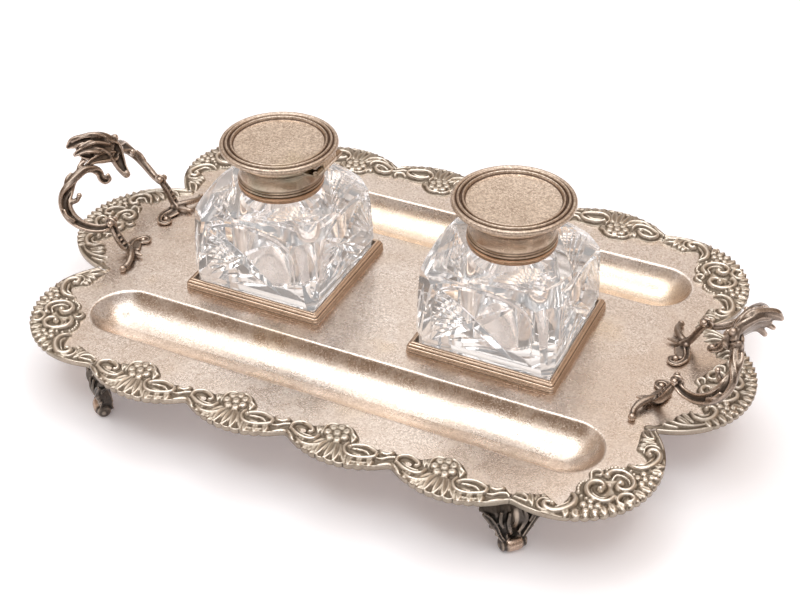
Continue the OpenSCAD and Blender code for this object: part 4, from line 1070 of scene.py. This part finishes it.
def foot_casting():
    """The fused skin of one foot, with a fourth value for its copper toe and its painted highlight."""
    rows = smooth_line([(o, 0, z, w) for z, o, w in FOOT_ROWS], 4)
    s = np.linspace(-1, 1, 41)
    outer, inner = [], []
    # the shield's section: rounded, with a groove down its middle and a rib and a hollow beside it
    for o, _, z, w in rows:
        leafy = min(1, max(0, (z - 9) / 6))
        g = -0.16 * w * s ** 2 * (1 + 0.6 * leafy)
        near = [np.exp(-((np.abs(s * w) - at) / wide) ** 2) for at,
                wide in ((0, 1.5), (2.6, 0.75), (5.2, 1.1), (7.6, 0.9))]
        g = g - 1.15 * near[0] + 0.75 * near[1]
        g = g - 0.75 * leafy * near[2] + 0.5 * leafy * near[3]
        outer.append(np.column_stack([o + g, s * w, np.full_like(s, z)]))
        back = o + g * 0.3 - 3.6 - 1.4 * math.sin(math.pi * min(1, z / 26))
        inner.append(np.column_stack([back, s * w * (0.9 - 0.25 * leafy), np.full_like(s, z)]))
    n, m = len(rows), len(s)
    verts = np.vstack(outer + inner)
    a = grid_faces(n, m)
    faces = a[:, ::-1].tolist() + (a + n * m).tolist()
    rim = ([i * m for i in range(n)] + [(n - 1) * m + j for j in range(1, m)]
           + [i * m + m - 1 for i in range(n - 2, -1, -1)] + list(range(m - 2, 0, -1)))
    for i, k in zip(rim, rim[1:] + rim[:1]):
        faces.append([k, i, i + n * m, k + n * m])
    parts = [(verts, faces)]
    parts.append(sweep([(0.5, -1.6, 3.0, 3.0, 3.0), (0.5, 1.6, 3.0, 3.0, 3.0)], (0, 0, 1), steps=1))
    for s in (1, -1):
        parts.append(knob((-0.4, s * 4.4, 3.0), 2.9, (1, 0.42, 1)))
        parts.append(knob((-0.2, s * 5.2, 3.0), 1.3, (1, 0.6, 1)))
        parts.append(sweep([(1.0, s * 12.6, 22.4, 0.9, 0.8), (1.4, s * 10.6, 19.8, 1.3, 1.0),
                            (1.8, s * 9.0, 16.8, 1.3, 1.0), (1.6, s * 7.6, 14.0, 1.0, 0.9),
                            (1.0, s * 6.6, 11.0, 1.0, 0.85), (0.6, s * 5.4, 8.0, 0.9, 0.8),
                            (0.6, s * 4.2, 5.8, 0.8, 0.7)], (1, 0, 0), CHANNEL, 5))
        parts.append(knob((1.6, s * 9.6, 16.2), 1.2))
        parts.append(knob((0.8, s * 6.9, 10.4), 1.0))
        for rib in ([(2.6, s * 3.0, 21.0, 0.7, 0.7), (3.2, s * 3.6, 17.4, 0.9, 0.8), (2.4, s * 2.6, 13.2, 0.9, 0.8),
                     (1.4, s * 1.6, 9.6, 0.7, 0.7)],
                    [(1.8, s * 6.0, 21.6, 0.8, 0.7), (2.6, s * 6.6, 18.6, 0.9, 0.8), (2.4, s * 5.4, 15.0, 0.7, 0.7)]):
            parts.append(sweep(rib, (1, 0, 0)))
    v, quads, cav, proud = fuse(parts)
    v[:, 2] = np.clip(v[:, 2], 0, FLOOR_Z - SHEET)
    # the groove down the middle is lightened as a painted reflection, and the toe is rubbed copper with a painted
    # highlight
    groove_highlight = np.clip(1.7 - np.abs(v[:, 1]) / 0.9, 0, 1) * np.clip((v[:, 2] - 9) / 3, 0,
            1) * np.clip((22 - v[:, 2]) / 3, 0, 1) * (v[:, 0] > -1)
    toe_copper_and_highlight = np.clip(3.4 - np.abs(v[:, 1]), 0, 1) * np.clip((6.4 - v[:, 2]) / 1.2, 0, 1)
    highlight_and_rubbed = np.maximum(groove_highlight, toe_copper_and_highlight)
    high = np.clip((v[:, 2] - 12) / 5, 0, 1)
    return v, quads, cav * (1 - highlight_and_rubbed), np.maximum(proud * (1 - 0.6 * high), groove_highlight * 0.9), toe_copper_and_highlight


foot = foot_casting()
for face, sy in FACES:
    for side, sx in SIDES:
        skin = turned(foot, math.degrees(math.atan2(sy, sx)), (sx * FOOT_X, sy * FOOT_Y, 0))
        cast_piece(f"foot_casting_{face}_{side}", skin, M_FOOT, slot="dark_silver", replaces=(f"foot_{face}_{side}",))


# Lids and collars

def revolve(profile, centre=(0, 0, 0), n=128):
    """Rings round a vertical axis from points of radius and height."""
    a = np.arange(n) * TAU / n
    verts = [np.column_stack([r * np.cos(a), r * np.sin(a), np.full(n, z)]) for r, z in profile]
    return np.vstack(verts) + np.array(centre, float), grid_faces(len(profile), n, close_cols=True)


def hollow_of(profile, reach=0.4):
    """How far each point of a profile lies behind the points a little before and after it, from 0 to 1."""
    p = np.array(profile, float)
    s = np.concatenate([[0], np.cumsum(np.hypot(*np.diff(p, axis=0).T))])
    a, c = (np.column_stack([np.interp(s + d, s, p[:, i]) for i in (0, 1)]) for d in (-reach, reach))
    d = unit(c - a)
    x, y = ((a + c) / 2 - p).T
    return np.clip(x * d[:, 1] - y * d[:, 0], 0, reach) / reach * 2.2


LID_Z, PANEL_R, COLLAR_Z = 90.4, 19.4, 72.5
# Profiles: radius and height
LID_RINGS = [(0.0, 1.2), (8, 1.22), (14, 1.26), (18, 1.34), (18.9, 1.4), (19.3, 1.5), (19.5, 1.8), (19.6, 2.35),
             (19.85, 2.72), (20.2, 2.82), (20.5, 2.66), (20.65, 2.3), (20.8, 1.9), (21.05, 1.8), (21.3, 1.9),
             (21.45, 2.35), (21.7, 2.82), (22.1, 2.98), (22.5, 2.82), (22.68, 2.4), (22.8, 2.02), (23.0, 1.95),
             (23.2, 2.1), (23.5, 2.4), (24.1, 2.5), (24.7, 2.3), (25.05, 1.75), (25.15, 1.2), (25.0, 0.8),
             (24.7, 0.62), (24.5, 0.42), (24.5, 0.2), (24.2, 0.04), (22.6, 0.0), (16, 0.0), (0.0, 0.0)]
COLLAR_RINGS = [(16.0, 0.0), (17.9, 0.0), (18.25, 0.25), (18.4, 1.0), (18.5, 1.9), (18.3, 2.35), (17.95, 2.5),
                (17.8, 2.75), (17.9, 3.05), (18.25, 3.2), (18.4, 3.5), (18.3, 3.85), (18.0, 4.05), (17.85, 4.3),
                (17.95, 4.6), (17.7, 4.85), (17.45, 5.3), (17.3, 6.4), (17.25, 7.8), (17.3, 9.4), (17.5, 10.8),
                (17.85, 12.0), (18.5, 12.9), (19.3, 13.5), (19.75, 13.9), (19.9, 14.5), (19.8, 15.1), (19.4, 15.4),
                (19.0, 15.5), (18.9, 15.8), (19.0, 16.4), (18.9, 17.2), (18.6, 17.55), (17.6, 17.6), (16.4, 17.5),
                (16.05, 17.2), (16.0, 8.0), (16.0, 0.0)]

M_LID = silver("lid_silver", (1.0, 0.86, 0.73), (0.88, 0.74, 0.61), (0.36, 0.27, 0.205), rough=0.27, grain=1.3,
               patina=(0.15, 0.10, 0.075), pits=1.2, tint=(0.78, 0.66, 0.47), rough_dark=0.5)
# the collar's warm colour is a painted reflection on its lowest band
M_COLLAR = silver("collar_silver", (0.63, 0.495, 0.375), (0.51, 0.39, 0.295), (0.28, 0.2, 0.145), rough=0.2,
                  grain=0.7, patina=(0.10, 0.065, 0.045), pits=0.2, tint=(0.40, 0.42, 0.34), rough_dark=0.4,
                  warm=(0.58, 0.36, 0.22))
for side, sx in SIDES:
    prof = smooth_line(LID_RINGS, 2)[::-1]
    v, f = revolve(prof, (sx * INKWELL_X, 0, LID_Z))
    ring = np.where((prof[:, 0] > PANEL_R + 0.3) & (prof[:, 1] > 0.5), 0.28, 0.0)
    cav = np.repeat(np.clip(hollow_of(prof) + ring, 0, 1), len(v) // len(prof))
    weld(piece(f"lid_disc_{side}", v, f, M_LID, body=f"lid_{side}", slot="lid_silver", replaces=(f"lid_{side}",),
               attributes={"cav": cav}), 0.001)
    prof = smooth_line(COLLAR_RINGS, 2)
    v, f = revolve(prof, (sx * INKWELL_X, 0, COLLAR_Z))
    # the lowest band is painted copper-brown, a painted reflection
    band_painted_reflection = np.clip((3.1 - prof[:, 1]) / 0.7, 0, 1)
    cav, band_painted_reflection = (np.repeat(a, len(v) // len(prof)) for a in (hollow_of(prof), band_painted_reflection))
    piece(f"collar_ring_{side}", v, f, M_COLLAR, body=f"inkwell_{side}", slot="collar_silver",
          replaces=(f"collar_{side}",), attributes={"cav": cav, "warm": band_painted_reflection})


# Bottles: cut glass, one form used twice, modelled about its own axis

BOTTLE_Z, NECK_TOP, NECK_R, GLASS_HALF = 27.2, 82.0, 15.9, 30.5
# Height, half width, cut of the corners
GLASS_ROWS = [(27.2, 28.2, 2.6), (28.0, 29.1, 3.0), (32.6, 29.1, 3.0), (36.4, 30.4, 4.4), (42, 30.5, 5.0),
              (52, 30.5, 6.2), (60, 30.4, 7.4)]
SHOULDER_Z, SHOULDER_FALL = 73.13, 1.7714e-4
INK_WELL = [(0, 33.4), (14.6, 33.4), (16.4, 34.2), (17, 36), (17, 60), (16.2, 62.6), (13.6, 66), (12.6, 68),
            (12.6, 84), (0, 84)]


def dome(r):
    """Height of the shoulder."""
    return SHOULDER_Z - SHOULDER_FALL * r ** 3


def glass_outline(half, cut, flat=14, bevel=4):
    """Points of a square with cut corners, anticlockwise."""
    pts = []
    for k in range(4):
        a = math.pi / 2 * k
        turn = np.array([[math.cos(a), -math.sin(a)], [math.sin(a), math.cos(a)]])
        side = [(half, -half + cut + (2 * half - 2 * cut) * i / flat) for i in range(flat)]
        corner = [(half - cut * i / bevel, half - cut + cut * i / bevel) for i in range(bevel)]
        pts += [turn @ p for p in side + corner]
    return np.array(pts)


def glass_body():
    """The bottle before it is cut."""
    top = glass_outline(30.3, 8.2)
    rows = [np.tile((0.0, 0.0, BOTTLE_Z), (len(top), 1))]
    for z, half, cut in GLASS_ROWS:
        rows.append(np.column_stack([glass_outline(half, cut), np.full(len(top), z)]))
    a = np.arctan2(top[:, 1], top[:, 0])
    circle = np.column_stack([np.cos(a), np.sin(a)])
    for t in np.linspace(0, 1, 12):
        p = top + (circle * (NECK_R + 0.6) - top) * t
        rows.append(np.column_stack([p, dome(np.hypot(p[:, 0], p[:, 1]))]))
    for r, z in ((NECK_R, 72.7), (NECK_R, NECK_TOP - 0.6), (NECK_R - 0.6, NECK_TOP), (0.0, NECK_TOP)):
        rows.append(np.column_stack([circle * r, np.full(len(a), z)]))
    return closed_mesh("glass", np.vstack(rows), grid_faces(len(rows), len(a), close_cols=True))


def closed_mesh(name, verts, faces):
    """A scratch object with coincident points joined, in millimetres."""
    bm = bmesh.new()
    vs = [bm.verts.new(v) for v in verts]
    for f in faces:
        try:
            bm.faces.new([vs[i] for i in dict.fromkeys(f)])
        except ValueError:
            pass
    bmesh.ops.remove_doubles(bm, verts=bm.verts, dist=1e-4)
    bmesh.ops.dissolve_degenerate(bm, edges=bm.edges, dist=1e-5)
    bmesh.ops.recalc_face_normals(bm, faces=bm.faces)
    mesh = bpy.data.meshes.new(name)
    bm.to_mesh(mesh)
    bm.free()
    return linked(name, mesh)


def mitre(points, normals, depth, half, above=1.5, over=0.12, count=17):
    """The body of a wheel's V-shaped cut along a surface: deepest in its middle, pointed at both ends."""
    p, n = np.array(points, float), unit(np.array(normals, float))
    t = np.linspace(-over, 1 + over, count)
    s = np.linspace(0, 1, len(p))
    ends = np.clip(t, 0, 1)
    c = np.column_stack([np.interp(ends, s, p[:, i]) for i in range(3)])
    c += np.outer(np.minimum(t, 0), p[1] - p[0]) * (len(p) - 1) + np.outer(np.maximum(t - 1, 0),
            p[-1] - p[-2]) * (len(p) - 1)
    up = unit(np.column_stack([np.interp(ends, s, n[:, i]) for i in range(3)]))
    side = unit(np.cross(up, np.gradient(c, axis=0)))
    dep = depth * (1 - (2 * t - 1) ** 2)
    wide = (np.maximum(dep + above, 0.3) * half / depth)[:, None]
    low, left, right = c - up * dep[:, None], c + up * above - side * wide, c + up * above + side * wide
    verts = np.stack([low, left, right], 1).reshape(-1, 3)
    m = len(t)
    faces = grid_faces(m, 3, close_cols=True).tolist() + [[0, 1, 2], [3 * m - 1, 3 * m - 2, 3 * m - 3]]
    return closed_mesh("cut", verts, faces)


def turn_about(p, side):
    """Points turned to one of the four sides."""
    a = math.pi / 2 * side
    c, s = math.cos(a), math.sin(a)
    return np.column_stack([p[:, 0] * c - p[:, 1] * s, p[:, 0] * s + p[:, 1] * c, p[:, 2]])


def turned_mitre(side, points, normals, *size, **more):
    """A cut on one of the four sides; one normal may do for all its points."""
    n = np.array(np.broadcast_to(normals, points.shape), float)
    return mitre(turn_about(points, side), turn_about(n, side), *size, **more)


def side_cut(side, a, b, *size):
    """A cut on a face between two points of across and height."""
    uv = np.linspace(a, b, 5)
    return turned_mitre(side, np.column_stack([np.full(5, GLASS_HALF - 0.05), uv]), (1, 0, 0), *size)


def shoulder_cut(side, a, b, *size):
    """A cut on the shoulder between two points of across and outward."""
    x, y = np.linspace(a, b, 9).T
    r = np.hypot(x, y)
    slope = 3 * SHOULDER_FALL * r ** 2
    n = np.column_stack([y / r * slope, x / r * slope, np.ones(9)])
    return turned_mitre(side, np.column_stack([y, x, dome(r)]), n, *size)


def corner_cut(side, low, high, *size):
    """A tall cut down a corner."""
    z = np.linspace(low, high, 5)
    reach = (2 * GLASS_HALF - np.interp(z, [r[0] for r in GLASS_ROWS], [r[2] for r in GLASS_ROWS])) / 2
    return turned_mitre(side, np.column_stack([reach, reach, z]), (1, 1, 0), *size)


def cut_bottle():
    """Body less its ink well, with a star of mitres on each face, blades over each shoulder and fluted corners."""
    body = glass_body()
    cutters = [closed_mesh("well", *revolve(INK_WELL, n=64))]
    arch = [(-21.4, 37), (-21.6, 50), (-20.8, 57.6), (-18, 62), (-12, 65), (-4, 66.4)]
    arch += [(-u, z) for u, z in arch[::-1]]
    arch = np.array([(GLASS_HALF - 0.05, u, z) for u, z in smooth_line(arch, 3)])
    for side in range(4):
        cutters += [side_cut(side, (-20, 64), (15, 36.5), 1.7, 2.3),
                    side_cut(side, (-20.5, 37.5), (14, 63.5), 1.6, 2.2)]
        for k in range(7):
            t = k / 6
            cutters.append(side_cut(side, (-21.6 + 2.2 * abs(t - 0.5), 60 - 19 * t), (-5.2, 52.8 - 4.4 * t), 0.7,
                                    1.15))
        cutters += [side_cut(side, (-14, 39), (2, 43.5), 0.6, 1.2), side_cut(side, (-9, 36.8), (8, 39.8), 0.55, 1.1)]
        for k in range(6):
            cutters.append(shoulder_cut(side, (-10 + 3.2 * k, 29.2 - 1.7 * k), (24.6 - 0.5 * k, 23.6 - 2.6 * k), 1.1,
                                        1.45))
        cutters += [shoulder_cut(side, (-18, 27.8), (-3, 30.0), 1.0, 1.5),
                    shoulder_cut(side, (-21, 22), (-9, 27.6), 1.0, 1.5),
                    shoulder_cut(side, (-20, 16.5), (-12, 24), 0.9, 1.3)]
        cutters.append(turned_mitre(side, arch, (1, 0, 0), 0.8, 1.1, over=0.03, count=60))
        cutters.append(corner_cut(side, 35, 63, 1.0, 2.6))
    group = bpy.data.collections.new("cutters")
    bpy.context.scene.collection.children.link(group)
    for c in cutters:
        group.objects.link(c)
    m = body.modifiers.new("cuts", "BOOLEAN")
    m.operation = "DIFFERENCE"
    m.operand_type = "COLLECTION"
    m.collection = group
    m.solver = "MANIFOLD"
    v, _, faces, _ = evaluated(body)
    for c in cutters:
        discard(c)
    bpy.data.collections.remove(group)
    return v, faces


def glass_material():
    """Clear lead crystal, with a faint painted glow that lightens it."""
    n = Nodes("crystal")
    n.link(n.mix(n.ramp(n.noise(60, 2, 0.5), 0.35, 0.65), (0.99, 0.985, 0.99), (0.96, 0.96, 0.975)),
           n.bsdf.inputs["Base Color"])
    n.link(n.ramp(n.noise(300, 3, 0.6), 0.3, 0.7, 0.0, 0.02), n.bsdf.inputs["Roughness"])
    n.bsdf.inputs["Transmission Weight"].default_value = 0.95
    n.bsdf.inputs["IOR"].default_value = 1.5
    # painted light: a faint white glow in the glass, which is no lamp
    n.bsdf.inputs["Emission Color"].default_value = (1, 0.99, 0.985, 1)
    n.bsdf.inputs["Emission Strength"].default_value = 0.05
    return n.mat


M_GLASS = glass_material()
glass_v, glass_f = cut_bottle()
for side, sx in SIDES:
    bottle = piece(f"bottle_cut_{side}", glass_v + (sx * INKWELL_X, 0, 0), glass_f, M_GLASS, body=f"inkwell_{side}",
                   slot="crystal", replaces=(f"bottle_{side}",))
    bottle.data.set_sharp_from_angle(angle=math.radians(14))


# Hinges and bezels keep their CAD form
for n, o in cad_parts.items():
    if not o.hide_render:
        mat = M_LID if n.startswith("lid") else M_COLLAR
        if not o.material_slots:
            o.data.materials.append(mat)
        for s in o.material_slots:
            s.material = mat


# Floor, light and camera

def stage_floor():
    """White paper under the part."""
    mat = Nodes("floor_paper")
    c = mat.mix(mat.noise(9, 2, 0.5), (0.95, 0.945, 0.965), (0.97, 0.965, 0.985))
    mat.link(c, mat.bsdf.inputs["Base Color"])
    mat.bsdf.inputs["Roughness"].default_value = 0.9
    mat.bsdf.inputs["Emission Color"].default_value = (0.86, 0.88, 1.0, 1)
    mat.bsdf.inputs["Emission Strength"].default_value = 0.1
    mesh = bpy.data.meshes.new("floor")
    s = 3.0
    mesh.from_pydata([(-s, -s, 0), (s, -s, 0), (s, s, 0), (-s, s, 0)], [], [(0, 1, 2, 3)])
    o = linked("floor", mesh)
    o.data.materials.append(mat.mat)


def studio(sky, patches):
    """Soft light by direction: a colour for each elevation, multiplied by patches round an axis."""
    world = bpy.data.worlds.new("studio")
    bpy.context.scene.world = world
    world.use_nodes = True
    tree = world.node_tree
    way = tree.nodes.new("ShaderNodeTexCoord").outputs["Generated"]

    def along(axis):
        """Cosine of the angle between the view's way and an axis."""
        d = tree.nodes.new("ShaderNodeVectorMath")
        d.operation = "DOT_PRODUCT"
        tree.links.new(way, d.inputs[0])
        d.inputs[1].default_value = Vector(axis).normalized()
        return d.outputs["Value"]

    ramp = tree.nodes.new("ShaderNodeValToRGB")
    tree.links.new(along((0, 0, 1)), ramp.inputs[0])
    while len(ramp.color_ramp.elements) < len(sky):
        ramp.color_ramp.elements.new(0.5)
    for e, (elevation, colour) in zip(ramp.color_ramp.elements, sky):
        e.position = math.sin(math.radians(elevation))
        e.color = (*colour, 1)
    colour = ramp.outputs[0]
    for axis, inner, outer, tone in patches:
        r = tree.nodes.new("ShaderNodeMapRange")
        r.interpolation_type = "SMOOTHSTEP"
        tree.links.new(along(axis), r.inputs[0])
        r.inputs[1].default_value = math.cos(math.radians(outer))
        r.inputs[2].default_value = math.cos(math.radians(inner))
        m = tree.nodes.new("ShaderNodeMix")
        m.data_type, m.blend_type = "RGBA", "MULTIPLY"
        tree.links.new(r.outputs[0], m.inputs[0])
        tree.links.new(colour, m.inputs[6])
        m.inputs[7].default_value = (*tone, 1)
        colour = m.outputs[2]
    tree.links.new(colour, tree.nodes["Background"].inputs[0])
    tree.nodes["Background"].inputs[1].default_value = 1.0


stage_floor()
# Elevation in degrees and colour; the bright band is the softbox, and it ends below the zenith
SKY = [(0, (0.66, 0.61, 0.58)), (14, (0.70, 0.65, 0.61)), (27, (0.78, 0.71, 0.66)), (35, (0.92, 0.85, 0.80)),
       (42, (1.25, 1.2, 1.16)), (55, (1.6, 1.58, 1.55)), (64, (3.3, 3.35, 3.4)), (73, (3.5, 3.55, 3.6)),
       (79, (1.05, 1.0, 0.96)), (90, (0.86, 0.83, 0.80))]
# Axis, inner and outer angle in degrees, colour
studio(SKY, [((-0.35, -0.74, 0.57), 15, 34, (0.27, 0.20, 0.145)),
             ((0.5, 0.7, 0.5), 30, 50, (0.66, 0.56, 0.48)),
             ((-0.95, 0.25, 0.3), 28, 47, (0.68, 0.60, 0.53)),
             ((0.75, -0.4, 0.5), 18, 48, (0.56, 0.53, 0.52)),
             ((-0.75, -0.6, 0.15), 15, 45, (1.4, 1.42, 1.45))])

# Fitted to the photo: angles in degrees, distance and target in millimetres, focal length in pixels
PHOTO_WIDTH, SENSOR = 800, 36
CAM = dict(az=25.800, el=36.422, roll=-0.469, dist=683.94, target=(-16.035, 38.988, -5.009), f=1455.76)


def camera():
    """The camera that took the photo."""
    a, e, r = (math.radians(CAM[k]) for k in ("az", "el", "roll"))
    back = np.array([math.sin(a) * math.cos(e), -math.cos(a) * math.cos(e), math.sin(e)])
    right = np.cross(-back, (0, 0, 1))
    right /= np.linalg.norm(right)
    up = np.cross(right, -back)
    x = math.cos(r) * right + math.sin(r) * up
    y = -math.sin(r) * right + math.cos(r) * up
    place = (np.array(CAM["target"]) + back * CAM["dist"]) * MM
    data = bpy.data.cameras.new("camera")
    data.sensor_width = SENSOR
    data.lens = CAM["f"] / PHOTO_WIDTH * SENSOR
    data.clip_start, data.clip_end = 0.01, 20
    o = linked("camera", data)
    o.matrix_world = Matrix(((x[0], y[0], back[0], place[0]), (x[1], y[1], back[1], place[1]),
                             (x[2], y[2], back[2], place[2]), (0, 0, 0, 1)))
    bpy.context.scene.camera = o


camera()
bpy.context.scene.view_settings.view_transform = "Standard"
